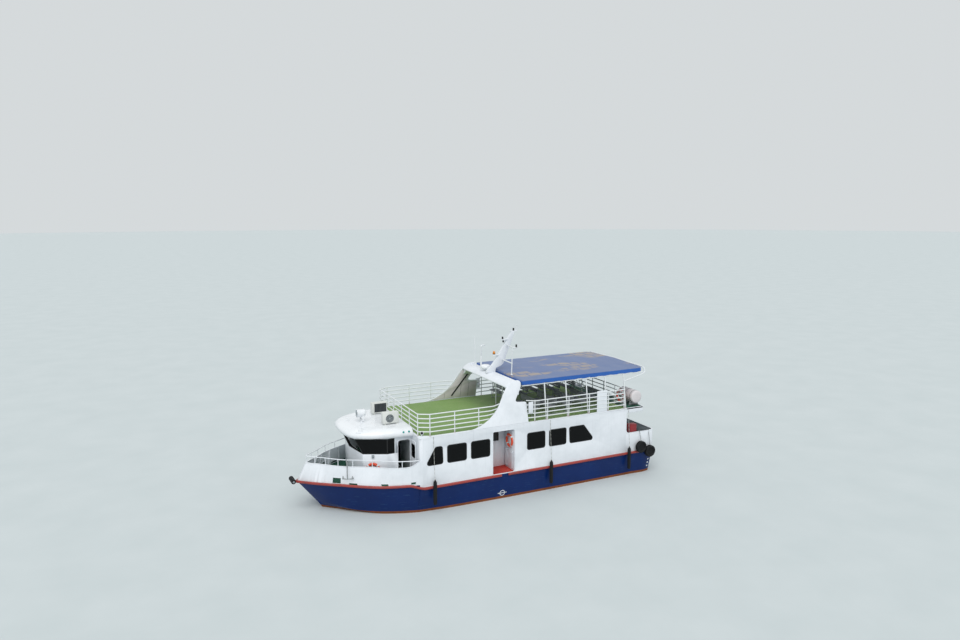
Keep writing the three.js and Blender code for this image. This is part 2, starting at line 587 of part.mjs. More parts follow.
function cabinAft() {
  const x0 = CABIN_AFT, x1 = CABIN_AFT + SIDE_WALL;
  const wall = box(x0, x1, -INSIDE, INSIDE, MAIN_DECK + GAP, wallTop);
  const door = AFT_DOOR;
  const doorway = box(x0 - 50, x1 + 50, -door.half + 30, door.half - 30, door.sill + 30, door.top - 30);
  const windows = [-1, 1].map((side) => prism(rounded([[side * 1000, 2450], [side * 1900, 2450],
    [side * 1900, 3250], [side * 1000, 3250]], 90), 'x', x0 - 50, x1 + 50));
  const { x, y } = AFT_HINGE;
  const pins = AFT_KNUCKLES.map((z) => join(
    rod([x, y, z - 60], [x, y, z + 45], door.pin, 10),
    rod([x, y, z - 80], [x, y, z - 50], 18, 12),
    box(x, x0 + 20, y - 14, y + 14, z - 80, z - 50)));
  return join(cut(wall, doorway, windows), pins);
}
addMesh('cabin_aft', cabinAft(), WHITE);

function aftDoor() {
  const door = AFT_DOOR;
  const leaf = box(-door.thick / 2, door.thick / 2, -2 * door.half - 20, -20, door.sill, door.top);
  const window = box(-100, 100, -2 * door.half + 130, -170, 2450, 3150);
  const knuckles = AFT_KNUCKLES.map((z) => cut(
    join(rod([0, 0, z - 49.5], [0, 0, z + 50], 18, 12), box(-8, 8, -30, -5, z - 49.5, z + 50)),
    rod([0, 0, z - 80], [0, 0, z + 80], door.pin + 1, 12)));
  return join(cut(leaf, window), knuckles);
}
addMesh('aft_door', aftDoor(), WHITE, [AFT_HINGE.x, AFT_HINGE.y, 0]);

function entrance() {
  const r = RECESS, t = 40;
  const outer = box(r.aft - t, r.fore + t, r.back - t, INSIDE, MAIN_DECK + GAP, r.top + t);
  const inner = box(r.aft, r.fore, r.back, INSIDE + 100, r.floor, r.top);
  const doorway = box(r.fore - 50, r.fore + t + 50, r.back + 120, 2860, r.floor + 40, 3330);
  const buoy = solid(lifebuoy().translate(r.aft + BUOY.depth - 5, 2700, 2900));
  return join(cut(outer, inner, doorway), buoy);
}
addPair('entrance', entrance(), WHITE);

// Upper deck with its turf-covered top, overhang and stair opening.
const STAIR = { half: 330, y: -2600, top: -8700, foot: -9780 };
function upperDeck() {
  const z0 = UPPER_DECK - UPPER_SLAB, z1 = UPPER_DECK;
  const plan = [[OVERHANG_AFT, -3080], [OVERHANG_AFT + 60, -HALF_BEAM], [3480, -HALF_BEAM], [CABIN_FRONT, -2850],
    [CABIN_FRONT, 2850], [3480, HALF_BEAM], [OVERHANG_AFT + 60, HALF_BEAM], [OVERHANG_AFT, 3080]];
  const stairway = box(OVERHANG_AFT - 100, STAIR.top + 170 + GAP, STAIR.y - STAIR.half - 40, STAIR.y + STAIR.half + 40, z0 - 50, z1 + 50);
  return cut(prism(plan, 'z', z0, z1), stairway);
}
addMesh('upper_deck', upperDeck(), TURF);

// Arch: two swept side plates, the beam between their heads, and the antennas on it.
function antennas() {
  return join(
    box(-1410, -1290, -2020, -1880, BEAM_TOP - 10, BEAM_TOP + 30),
    rod([-1350, -1950, 5920], [-1350, -1950, 6150], 28, 8),
    rod([-1350, -1950, 6140], [-1350, -2000, 7560], 11, 6),
    box(-1420, -1280, -1270, -1130, BEAM_TOP - 10, BEAM_TOP + 30),
    rod([-1350, -1200, 5920], [-1350, -1200, 6560], 42, 8),
    rod([-1350, -1200, 6540], [-1350, -1200, 7150], 28, 8),
    rod([-1350, -1200, 7130], [-1560, -1200, 7190], 28, 8));
}

const ARCH = { plate: 70, lean: 0.25, foot: HALF_BEAM - 5 };
const BEAM_TOP = 5900;
// The side plates' outline, from the aft foot round the front edge, over the top and down.
const archProfile = [
  [-1919, UPPER_DECK + GAP], [1340, UPPER_DECK + GAP], [1090, 3885], [778, 3985], [520, 4098], [280, 4232],
  [67, 4395], [-105, 4555], [-260, 4725], [-389, 4905], [-520, 5120], [-646, 5345], [-830, 5600], [-990, 5770],
  [-1110, 5870], [-1250, 5935], [-1400, 5962], [-1570, 5965], [-1660, 5930], [-1715, 5850], [-1712, 5700],
  [-1640, 5520], [-1340, 5060], [-1311, 4965], [-1400, 4905], [-1839, 4873], [-1900, 4850], [-1919, 4800],
];
const archOut = (z) => ARCH.foot - ARCH.lean * (z - UPPER_DECK);
function arch() {
  const plates = [-1, 1].map((side) => {
    const y = [side * ARCH.foot, side * (ARCH.foot - ARCH.plate)];
    const upright = prism(archProfile, 'y', Math.min(...y), Math.max(...y));
    // Each plate leans inboard from its foot.
    return upright.transform([1, 0, 0, 0, 0, 1, 0, 0, 0, -side * ARCH.lean, 1, 0, 0, side * ARCH.lean * UPPER_DECK, 0, 1]);
  });
  const y = archOut(BEAM_TOP) - 15;
  const beam = prism([[-960, 5625], [-860, 5650], [-870, 5700], [-1010, 5830], [-1150, 5890], [-1260, BEAM_TOP],
    [-1600, BEAM_TOP], [-1670, 5860], [-1690, 5720], [-1600, 5640]], 'y', -y, y);
  const haunches = [-1, 1].map((side) => prism([[side * (archOut(5250) - 30), 5250],
    [side * (archOut(5700) - 30), 5700], [side * 2150, 5700]], 'x', -1560, -960));
  return join(plates, beam, haunches, antennas());
}
addMesh('arch', arch(), WHITE);

// A fence of five equal pipes between the deck and the top rail, with posts.
const LEVELS = [0, 1, 2, 3, 4].map((i) => RAIL_TOP - RAIL_PIPE - i * 215);
const railPost = (x, y, foot = UPPER_DECK + GAP) => rod([x, y, foot], [x, y, RAIL_TOP - RAIL_PIPE], 20, 4);
function fence(path, posts) {
  const pipes = LEVELS.map((z) => pipe(path.map(([x, y]) => [x, y, z])));
  return join(pipes, posts.map(([x, y]) => railPost(x, y)));
}

const RAIL_Y = HALF_BEAM - 40;
// Where the arch's front edge is at a height, so that each pipe ends just ahead of it.
function archEdge(z) {
  const i = archProfile.findIndex(([, height], k) => k > 1 && height >= z);
  const [x0, z0] = archProfile[i - 1], [x1, z1] = archProfile[i];
  return x0 + (x1 - x0) * (z - z0) / (z1 - z0);
}

function railForward() {
  const pipes = LEVELS.map((z) => {
    const end = archEdge(z - RAIL_PIPE) + 12;
    return pipe(bothSides([[end, archOut(z) - 35, z], [end + 420, RAIL_Y, z], [3500, RAIL_Y, z], [4010, 2810, z]]));
  });
  const posts = [[900, RAIL_Y, 3984], [2200, RAIL_Y], [3500, RAIL_Y], [4010, 2810], [4010, 1700], [4010, 600]];
  return join(pipes, posts.flatMap(([x, y, foot]) => [railPost(x, y, foot), railPost(x, -y, foot)]));
}
addMesh('rail_forward', railForward(), WHITE);

function railSide() {
  const y = RAIL_Y;
  const posts = [-2380, -3560, -4830, -5900, -7350, -7900].map((x) => [x, y]);
  const pipes = join(LEVELS.map((z) => pipe([[-1932, archOut(z) - 35, z], [-2300, y, z], [-7960, y, z]])),
    posts.map(([px, py]) => railPost(px, py)));
  const panel = box(-6790, -6140, y - 15, y + 15, UPPER_DECK + GAP, 5000);
  return join(pipes, panel);
}
addPair('rail_side', railSide(), WHITE);

function railStern() {
  const x = -8060;
  const start = STAIR.y + STAIR.half + 30;
  return fence([[x, start], [x, RAIL_Y - 210]],
    [start, -1200, -100, 1000, 2050, RAIL_Y - 210].map((y) => [x, y]));
}
addMesh('rail_stern', railStern(), WHITE);

// Canopy: pipe frame with posts at the rails and a blue cover with a valance.
const POSTS = [-3130, -4430, -5720, -6940, -8180];
function canopyFrame() {
  const c = CANOPY, z = 5650, y = c.half - 40;
  const postY = RAIL_Y - 60;
  const half = [[-1780, y, z], [-9300, y, z], [-9480, y - 180, z]];
  const rim = pipe([...half, ...half.slice().reverse().map(([x, yy, zz]) => [x, -yy, zz])], 22);
  const posts = POSTS.flatMap((x) => [-1, 1].map((side) =>
    rod([x + 100, side * postY, UPPER_DECK - 40], [x, side * y, z], 26, 6)));
  const deck = box(-9000, 0, -HALF_BEAM, HALF_BEAM, UPPER_DECK - 100, UPPER_DECK + GAP);
  const under = (yy) => c.crown - 7 - (c.crown - c.edge + 7) * yy / (c.half - 14) - 18 - GAP;
  const bows = [...POSTS, c.fore - 60, -9080].map((x) => join(
    rod([x, -y, under(y)], [x, 0, under(0)], 18, 6), rod([x, y, under(y)], [x, 0, under(0)], 18, 6),
    rod([x, -y, z], [x, -y, under(y) + 8], 18, 6), rod([x, y, z], [x, y, under(y) + 8], 18, 6)));
  const braces = [-1, 1].map((side) => rod([-8160, side * (y + 80), 5280], [-9220, side * y, z], 20, 6));
  return cut(join(rim, posts, bows, braces), deck);
}
addMesh('canopy_frame', canopyFrame(), WHITE);

function canopy() {
  const c = CANOPY;
  const skin = (inset, drop) => {
    const y = c.half - inset;
    const section = [[-y, c.hem - drop], [-y, c.edge - inset], [0, c.crown - inset / 2], [y, c.edge - inset],
      [y, c.hem - drop]];
    const body = prism(section, 'x', c.aft + inset, c.fore - inset);
    const corners = prism([[c.aft + inset, 180 - y], [c.aft + inset + 60, 60 - y], [c.aft + inset + 180, -y], [0, -y],
      [0, y], [c.aft + inset + 180, y], [c.aft + inset + 60, y - 60], [c.aft + inset, y - 180]], 'z', 5000, 7000);
    return body.intersect(corners);
  };
  return cut(skin(0, 0), skin(14, 50));
}
addMesh('canopy', canopy(), CANOPY_BLUE);

// Mast, raked aft on the beam, with brackets, lamps, arms and a pole.
function mast() {
  const foot = BEAM_TOP + GAP;
  const outline = [[-1290, foot], [-1340, 6040], [-1430, 6250], [-1850, 6930], [-2380, 7710], [-2580, 8060], [-2760, 8060],
    [-2510, 7310], [-2210, 6720], [-1990, 6260], [-1600, 6140], [-1590, foot]];
  const spar = prism(outline, 'y', -70, 70);
  const crosspiece = box(-2900, -2540, -40, 40, 8040, 8090);
  const lampRoom = rod([-2860, 0, 8080], [-2860, 0, 8200], 45, 10);
  const horn = rod([-2700, 0, 8070], [-2930, 0, 8380], 9, 6);
  const brackets = [[-2000, 7640, -2300], [-1430, 6830, -1780]].map(([tip, z, root]) =>
    box(root - 60, tip, -45, 45, z - 20, z + 20));
  const lamps = [[-2060, 7655, 7790], [-2060, 7490, 7625]].map(([x, z0, z1]) => rod([x, 0, z0], [x, 0, z1], 50, 10));
  const arms = [[7290, -2330], [6560, -2000]].map(([z, x]) => join(
    rod([x, 0, z], [-1990, 1250, z], 22, 8)));
  const pole = join(rod([-1940, 1250, 5760], [-1990, 1250, 7420], 24, 8),
    box(-1950, -1684.5, 1225, 1275, 5760, 5800));
  const beacon = [rod([-1540, 0, 6845], [-1540, 0, 6890], 85, 14), rod([-1540, 0, 6880], [-1540, 0, 7050], 72, 14, 55)];
  return join(spar, crosspiece, lampRoom, horn, brackets, lamps, arms, pole, beacon);
}
addMesh('mast', mast(), WHITE);

function radar() {
  return join(rod([0, 0, 0], [0, 0, 120], 60, 10), rod([0, 0, 110], [0, 0, 330], 270, 20, 215));
}
addMesh('radar_dome', radar(), WHITE, [-1290, -550, BEAM_TOP + GAP]);

// Roof gear: air-conditioning units, searchlight and its yoke.
function acUnit() {
  const body = box(-405, 405, -150, 150, 60, 600);
  const feet = [-300, 300].map((x) => box(x - 30, x + 30, -190, 190, GAP, 80));
  const grille = rod([-100, 145, 330], [-100, 170, 330], 215, 20);
  return join(body, feet, grille);
}
addMesh('ac_unit_port', acUnit(), WHITE, [4810, 1120, 4120]);
addMesh('ac_unit_starboard', acUnit(), WHITE, [4700, -950, 4120], [0, 0, Math.PI]);

function searchlight() {
  return join(
    rod([-200, 0, 0], [250, 0, 0], 195, 20),
    rod([240, 0, 0], [275, 0, 0], 210, 20),
    rod([0, -LAMP.arm + 14 + GAP, 0], [0, LAMP.arm - 14 - GAP, 0], 20, 12));
}
addMesh('searchlight', searchlight(), WHITE, [LAMP.x, LAMP.y, LAMP.pivot]);

// Aft deck: bulwark round the stern, stair to the upper deck, liferaft, tyres on the quarter.
function aftBulwark() {
  const foot = MAIN_DECK - 40 + GAP;
  const half = [[CABIN_AFT - GAP, -HALF_BEAM, 0], ...SHEER.slice(0, 3).reverse().map(([x, y]) => [x, -y, 0])];
  const path = [...half, ...half.slice().reverse().map(([x, y]) => [x, -y, 0])];
  return sweep(path, [[-8, foot], [-8, 2430], [-60, 2430], [-60, foot]]);
}
addMesh('aft_bulwark', aftBulwark(), WHITE);

function stair() {
  const { top, foot, y, half } = STAIR;
  const rise = UPPER_DECK - MAIN_DECK;
  const steps = 9;
  const stringers = [-1, 1].map((side) => prism([[foot, MAIN_DECK + GAP], [foot + 170, MAIN_DECK + GAP],
    [top + 170, UPPER_DECK - 10], [top, UPPER_DECK - 10]], 'y', y + side * half - 20, y + side * half + 20));
  const treads = Array.from({ length: steps }, (_, i) => {
    const t = (i + 1) / (steps + 0.6);
    const x = foot + (top - foot) * t, z = MAIN_DECK + rise * t;
    return box(x - 10, x + 200, y - half, y + half, z - 15, z + 15);
  });
  return join(stringers, treads);
}
addMesh('stair', stair(), GREY);

function liferaft() {
  const x = -8860, z = UPPER_DECK + 120 + 390;
  const drum = rod([x, 1700, z], [x, 3000, z], 350, 18);
  const hoops = [1900, 2350, 2800].map((y) => rod([x, y - 20, z], [x, y + 20, z], 362, 18));
  const cradle = [2000, 2700].map((y) => prism([[x - 330, UPPER_DECK + GAP], [x + 330, UPPER_DECK + GAP],
    [x + 250, z - 100], [x - 250, z - 100]], 'y', y - 25, y + 25));
  return join(drum, hoops, cradle);
}
addMesh('liferaft', liferaft(), WHITE);

function tyre() {
  const profile = [[215, -95], [235, -105], [320, -95], [325, 0], [320, 95], [235, 105], [215, 95], [235, 0]];
  const points = [...profile, profile[0]].map(([r, h]) => new THREE.Vector2(r, h));
  return new THREE.LatheGeometry(points, 18);
}
function tyrePair() {
  const y = HALF_BEAM + STRAKE.out + 105 + GAP;
  const first = solid(tyre().translate(-8980, y, 1600));
  const second = solid(tyre().translate(-9600, y, 1280));
  const chains = [[-8980, 1910], [-9600, 1590]].map(([x, z]) => join(
    rod([x, y, z], [x, HALF_BEAM + 22, 2447], 16, 6),
    rod([x, HALF_BEAM + 22, 2447], [x, HALF_BEAM - 20, 2447], 16, 6)));
  return join(first, second, chains, rod([-8980, HALF_BEAM - 20, 2447], [-9600, HALF_BEAM - 20, 2447], 16, 6));
}
addPair('tyre_fenders', tyrePair(), RUBBER);

// Flat against the port front facet of the wheelhouse.
const FACET = Math.atan2(HOUSE_PLAN[2][0] - HOUSE_PLAN[1][0], HOUSE_PLAN[1][1] - HOUSE_PLAN[2][1]);
const stand = BUOY.depth + GAP;
addMesh('lifebuoy_wheelhouse', solid(lifebuoy()), ORANGE,
  [5940 + stand * Math.cos(FACET), 1759 + stand * Math.sin(FACET), 2130], [0, 0, FACET]);
addMesh('lifebuoy_stern', solid(lifebuoy()), ORANGE, [-8060 - RAIL_PIPE * Math.cos(Math.PI / 6) - BUOY.depth - GAP, 2470, 4400]);

// Benches on the upper deck under the canopy.
function benches() {
  const rows = [-2700, -3750, -4800, -5850, -6900].map((x) => join(
    box(x - 230, x + 200, 500, 2500, 4270, 4310),
    box(x - 260, x - 220, 500, 2500, 4280, 4700),
    [700, 2300].map((y) => box(x - 200, x + 150, y - 20, y + 20, UPPER_DECK + GAP, 4290))));
  const rail = [700, 2300].map((y) => box(-7100, -2550, y - 25, y + 25, UPPER_DECK + GAP, UPPER_DECK + 30));
  return join(rows, rail);
}
addPair('benches', benches(), GREY);

function cabinSeats() {
  const rows = [2900, 1900, 900, -2000, -3000, -4000, -5000, -6000, -7000].map((x) => join(
    box(x - 220, x + 220, 650, 1950, 1720, 1800),
    box(x - 250, x - 180, 650, 1950, 1740, 2330),
    box(x - 60, x + 60, 1250, 1350, MAIN_DECK + GAP, 1740)));
  return join(rows, box(-7150, 3050, 1250, 1350, MAIN_DECK + GAP, MAIN_DECK + 30));
}
addPair('cabin_seats', cabinSeats(), CANOPY_BLUE);

// Under water: propellers on their shafts, and rudders.
// One blade: [radius, half chord, pitch angle, half thickness] from root to tip.
const BLADE = [[40, 55, 1.05, 16], [160, 110, 0.75, 12], [270, 115, 0.52, 8], [PROPELLER.radius, 40, 0.42, 4]];

function propeller() {
  const blades = [0, 1, 2, 3].map((k) => {
    const rings = BLADE.map(([r, chord, pitch, thick]) =>
      [[-chord, 0], [0, thick], [chord, 0], [0, -thick]].map(([u, w]) => {
        const along = u * Math.sin(pitch) + w * Math.cos(pitch);
        const across = u * Math.cos(pitch) - w * Math.sin(pitch);
        const turn = k * Math.PI / 2;
        return [along, across * Math.cos(turn) - r * Math.sin(turn), across * Math.sin(turn) + r * Math.cos(turn)];
      }));
    return loft(rings);
  });
  const hub = rod([-110, 0, 0], [110, 0, 0], PROPELLER.hub, 14, PROPELLER.hub + 8);
  const cap = rod([-190, 0, 0], [-105, 0, 0], 20, 14, PROPELLER.hub);
  const shaftLength = Math.hypot(1, SHAFT.slope) * SHAFT.inner;
  return join(blades, hub, cap, rod([0, 0, 0], [shaftLength, 0, 0], SHAFT.radius, 24));
}
for (const [name, side] of [['port', 1], ['starboard', -1]]) {
  addMesh(`propeller_${name}`, propeller(), BRONZE, [SHAFT.x, side * SHAFT.y, SHAFT.z],
    [0, -Math.atan(SHAFT.slope), 0]);
}

function rudder() {
  const r = RUDDER;
  const blade = prism([[-r.aft, -r.half / 3], [0, -r.half], [r.fore, -r.half / 2], [r.fore, r.half / 2], [0, r.half],
    [-r.aft, r.half / 3]], 'z', r.foot, r.top);
  return join(blade, rod([0, 0, r.top - 20], [0, 0, r.stockTop], r.stock, 24));
}
addMesh('rudder_port', rudder(), STEEL, [RUDDER.x, SHAFT.y, 0]);
addMesh('rudder_starboard', rudder(), STEEL, [RUDDER.x, -SHAFT.y, 0]);

export default ferry;
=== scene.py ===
import math

import bmesh
import bpy
from mathutils import Matrix, Vector


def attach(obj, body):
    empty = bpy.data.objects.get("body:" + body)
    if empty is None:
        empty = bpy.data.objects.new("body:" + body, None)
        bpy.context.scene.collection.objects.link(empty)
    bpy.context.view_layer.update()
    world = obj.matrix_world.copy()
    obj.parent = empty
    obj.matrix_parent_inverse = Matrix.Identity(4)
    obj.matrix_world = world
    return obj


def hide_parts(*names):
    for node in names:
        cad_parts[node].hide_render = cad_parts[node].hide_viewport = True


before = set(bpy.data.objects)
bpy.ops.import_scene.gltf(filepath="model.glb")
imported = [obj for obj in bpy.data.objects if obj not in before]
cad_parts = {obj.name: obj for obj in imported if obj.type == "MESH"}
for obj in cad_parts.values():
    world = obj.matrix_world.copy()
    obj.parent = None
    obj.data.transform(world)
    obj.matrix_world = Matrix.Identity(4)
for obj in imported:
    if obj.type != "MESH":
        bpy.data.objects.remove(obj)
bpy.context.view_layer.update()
scene = bpy.context.scene

# Camera, floor and light. The camera stands about 14 m up, off the port bow. The photograph's light is white and
# soft, so here it is one broad dome with a weak, very soft sun behind it.
camera_data = bpy.data.cameras.new("camera")
camera_data.sensor_width = 36.0
camera_data.lens = 27.966
camera_data.clip_end = 3000.0
camera = bpy.data.objects.new("camera", camera_data)
scene.collection.objects.link(camera)
right = Vector((-0.89794, 0.44012, -0.00173))
ahead = Vector((-0.43536, -0.88878, -0.14331)).normalized()
camera.matrix_world = (Matrix.Translation((16.553, 35.227, 14.478))
                       @ Matrix((right, right.cross(ahead), -ahead)).transposed().to_4x4())
scene.camera = camera


def colour(code):
    """An sRGB hex colour as the linear values that a shader takes."""
    parts = [int(code[i:i + 2], 16) / 255 for i in (1, 3, 5)]
    return [c / 12.92 if c <= 0.04045 else ((c + 0.055) / 1.055) ** 2.4 for c in parts] + [1.0]


# The output that a finish takes from a node, where it isn't the first one. A mix's third output is its colour.
OUTPUTS = {"TexCoord": "Object", "SeparateXYZ": "Z", "TexWave": "Fac", "Mix": 2}


def node(tree, kind, inputs=None, to=None, **settings):
    """Adds a node with its settings and links, and returns its output. An input given as an output is linked, a hex
    code is made a colour, and any other is set. `to` names the socket of the shader that the node feeds."""
    made = tree.nodes.new("ShaderNode" + kind)
    for name, value in settings.items():
        setattr(made, name, value)
    for name, value in (inputs or {}).items():
        if isinstance(value, bpy.types.NodeSocket):
            tree.links.new(value, made.inputs[name])
        else:
            made.inputs[name].default_value = colour(value) if isinstance(value, str) else value
    output = made.outputs[OUTPUTS.get(kind, 0)]
    if to:
        tree.links.new(output, tree.nodes["Principled BSDF"].inputs[to])
    return output


def new_finish(name, **fixed):
    """A material with the shader's constant sockets set, its node tree, and its Object coordinates."""
    finish = bpy.data.materials.new(name)
    finish.use_nodes = True
    tree = finish.node_tree
    for socket, value in fixed.items():
        tree.nodes["Principled BSDF"].inputs[socket.replace("_", " ")].default_value = value
    return finish, tree, node(tree, "TexCoord")


def per(millimetres):
    """A pattern's scale for a repeat of that many millimetres, because scenes are in metres."""
    return 1000.0 / millimetres


floor_finish, tree, at = new_finish("matte_paper_floor", Roughness=0.9)
mottle = node(tree, "TexNoise", {"Vector": at, "Scale": per(2500), "Detail": 4.0})
node(tree, "Mix", {0: mottle, 6: "#bcc5c7", 7: "#c8cfd1"}, to="Base Color", data_type="RGBA")
bm = bmesh.new()
bmesh.ops.create_circle(bm, cap_ends=True, radius=600.0, segments=96)
mesh = bpy.data.meshes.new("floor")
bm.to_mesh(mesh)
bm.free()
mesh.materials.append(floor_finish)
floor = bpy.data.objects.new("floor", mesh)
scene.collection.objects.link(floor)

world = bpy.data.worlds.new("overcast")
world.use_nodes = True
world.node_tree.nodes["Background"].inputs["Color"].default_value = colour("#eef3f5")
world.node_tree.nodes["Background"].inputs["Strength"].default_value = 0.78
scene.world = world
sun_data = bpy.data.lights.new("sun", "SUN")
sun_data.energy = 1.75
sun_data.angle = math.radians(50)
sun_data.color = (1.0, 0.985, 0.96)
sun = bpy.data.objects.new("sun", sun_data)
sun.rotation_euler = (math.radians(-32), math.radians(18), 0.0)
scene.collection.objects.link(sun)
scene.view_settings.view_transform = "Standard"

# Hull: welded steel, hard chine and V bottom, built on frames and plated. Blue enamel above the boot top and
# brown antifouling below it. The plating is drawn through fair lines from transom to stem.
PORT_LINES = [
    # keel x, keel z, chine x, chine y, chine z, sheer x, sheer y
    (-9.88, -0.48, -9.9, 2.76, -0.08, -10.05, 2.88), (-9.8, -0.485, -9.82, 2.9, -0.085, -9.97, 3.07),
    (-9.65, -0.5, -9.65, 2.96, -0.09, -9.78, 3.148), (-8.6, -0.56, -8.6, 2.965, -0.12, -8.7, 3.15),
    (-4.0, -0.85, -4.0, 2.98, -0.26, -4.0, 3.15), (0.5, -0.9, 0.5, 2.955, -0.26, 0.5, 3.15),
    (2.6, -0.9, 2.6, 2.88, -0.24, 2.6, 3.15), (3.6, -0.892, 3.6, 2.79, -0.21, 3.6, 3.15),
    (4.04, -0.89, 4.04, 2.74, -0.19, 4.05, 3.15), (4.55, -0.875, 4.5, 2.62, -0.15, 4.5, 3.07),
    (5.2, -0.845, 5.15, 2.4, -0.06, 5.2, 2.865), (5.85, -0.8, 5.85, 2.08, 0.02, 5.89, 2.59),
    (6.5, -0.7, 6.53, 1.66, 0.12, 6.62, 2.12), (7.08, -0.56, 7.18, 1.18, 0.22, 7.33, 1.58),
    (7.38, -0.45, 7.52, 0.86, 0.28, 7.9, 1.17), (7.64, -0.33, 7.85, 0.56, 0.34, 8.45, 0.74),
    (7.82, -0.21, 8.12, 0.29, 0.4, 8.88, 0.37), (7.98, -0.1, 8.37, 0.04, 0.46, 9.23, 0.04),
]
DECK_AFT, DECK_FORE, BREAK = 1.3, 1.5, 4.05


def fair(rows, steps):
    """A fair line through rows of numbers, with that many steps between two rows."""
    rows = [tuple(r) for r in rows]
    ends = [rows[0], *rows, rows[-1]]
    out = []
    for i in range(1, len(ends) - 2):
        a, b, c, d = ends[i - 1:i + 3]
        near, mid, far = [max(math.dist(p, q), 1e-6) for p, q in ((a, b), (b, c), (c, d))]
        for k in range(steps):
            t = k / steps
            point = []
            for j in range(len(b)):
                rise = (c[j] - b[j]) / mid
                slope_in = rise if i == 1 else (rise * near + (b[j] - a[j]) / near * mid) / (near + mid)
                slope_out = rise if i == len(ends) - 3 else (rise * far + (d[j] - c[j]) / far * mid) / (far + mid)
                h = t * t * (3 - 2 * t)
                point.append(b[j] * (1 - h) + c[j] * h + mid * (slope_in * t * (1 - t) ** 2
                                                                - slope_out * t * t * (1 - t)))
            out.append(tuple(point))
    return out + [rows[-1]]


def skin(bm, rings, closed=True, caps=True):
    """Plates a skin through rings of points, and closes its two ends."""
    before, first = None, None
    for ring in rings:
        corners = [bm.verts.new(p) for p in ring]
        loop = [bm.edges.new((corners[i - 1], corners[i])) for i in range(0 if closed else 1, len(corners))]
        if before:
            bmesh.ops.bridge_loops(bm, edges=before + loop)
        before, first = loop, first or loop
    if caps:
        for end in (first, before):
            bmesh.ops.contextual_create(bm, geom=end)


def slab(bm, x, y, z):
    """A rectangular block between pairs of limits."""
    size = [abs(b - a) for a, b in (x, y, z)]
    place = Matrix.Translation([(a + b) / 2 for a, b in (x, y, z)]) @ Matrix.Diagonal((*size, 1))
    bmesh.ops.create_cube(bm, size=1.0, matrix=place)


def bar(bm, start, end, radius, sides=14):
    """A round bar from one point to another."""
    start, end = Vector(start), Vector(end)
    place = Matrix.Translation((start + end) / 2) @ (end - start).to_track_quat("Z", "Y").to_matrix().to_4x4()
    bmesh.ops.create_cone(bm, cap_ends=True, segments=sides, radius1=radius, radius2=radius,
                          depth=(end - start).length, matrix=place)


def on_plane(outline, axis, level):
    """A flat outline's points in space: it is (x, z) square to y, (x, y) square to z and (y, z) square to x."""
    return [{"x": (level, u, v), "y": (u, level, v), "z": (u, v, level)}[axis] for u, v in outline]


def thicken(bm, faces, axis, depth):
    """Gives flat faces a thickness, and returns the corners of the new side."""
    thick = bmesh.ops.extrude_face_region(bm, geom=faces)["geom"]
    moved = [v for v in thick if isinstance(v, bmesh.types.BMVert)]
    bmesh.ops.translate(bm, verts=moved, vec=[depth if a == axis else 0.0 for a in "xyz"])
    return moved


def plate(bm, outline, axis, near, far):
    """A flat outline cut from plate, between two levels along an axis."""
    corners = [bm.verts.new(p) for p in on_plane(outline, axis, near)]
    return corners + thicken(bm, [bm.faces.new(corners)], axis, far - near)


def both_sides(bm):
    """Adds the mirror image of a port piece, across the boat's centreline."""
    copy = bmesh.ops.duplicate(bm, geom=list(bm.verts) + list(bm.edges) + list(bm.faces))
    moved = [v for v in copy["geom"] if isinstance(v, bmesh.types.BMVert)]
    bmesh.ops.scale(bm, verts=moved, vec=(1.0, -1.0, 1.0))


def piece(name, bm, finish, stands_for, body="boat", bevel=0.0, angle=38, segments=2):
    """Makes the finished mesh of one piece: seams closed, faces out, edges eased, fixed to what carries it."""
    bmesh.ops.remove_doubles(bm, verts=bm.verts, dist=2e-5)
    bmesh.ops.recalc_face_normals(bm, faces=bm.faces)
    if bevel:
        crisp = [e for e in bm.edges if len(e.link_faces) == 2
                 and e.calc_face_angle(0) > math.radians(angle) and e.calc_length() > bevel]
        bmesh.ops.bevel(bm, geom=crisp, offset=bevel, segments=segments, profile=0.5, material=-1,
                        affect="EDGES", clamp_overlap=True)
    mesh = bpy.data.meshes.new(name)
    bm.to_mesh(mesh)
    bm.free()
    mesh.shade_smooth()
    mesh.set_sharp_from_angle(angle=math.radians(angle))
    mesh.materials.append(finish)
    made = bpy.data.objects.new(name, mesh)
    scene.collection.objects.link(made)
    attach(made, body)
    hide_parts(stands_for)
    return made


def wave_scale(millimetres):
    """A wave texture's scale for bands that far apart along x, y or z: it has one every 2 pi / 20 of its units."""
    return per(millimetres) * math.tau / 20


hull_finish, tree, at = new_finish("blue_hull_enamel_over_antifouling", Specular_IOR_Level=0.22)
height = node(tree, "SeparateXYZ", {0: at})
ragged = node(tree, "TexNoise", {"Vector": at, "Scale": per(260), "Detail": 6.0})
waterline = node(tree, "Math", {0: ragged, 1: 0.035, 2: height}, operation="MULTIPLY_ADD")
above_boot = node(tree, "MapRange", {"Value": waterline, "From Min": 0.145, "From Max": 0.152})
fade = node(tree, "TexNoise", {"Vector": at, "Scale": per(1400), "Detail": 5.0, "Roughness": 0.62})
faded = node(tree, "Mix", {0: fade, 6: "#061f50", 7: "#0b2d6c"}, data_type="RGBA")
drawn_out = node(tree, "Mapping", {"Vector": at, "Scale": (1.2, 1.2, 7.0)})
scuffs = node(tree, "TexNoise", {"Vector": drawn_out, "Scale": per(520), "Detail": 7.0})
scuff_mask = node(tree, "MapRange", {"Value": scuffs, "From Min": 0.6, "From Max": 0.74, "To Max": 0.55})
blue = node(tree, "Mix", {0: scuff_mask, 6: faded, 7: "#2a4d78"}, data_type="RGBA")
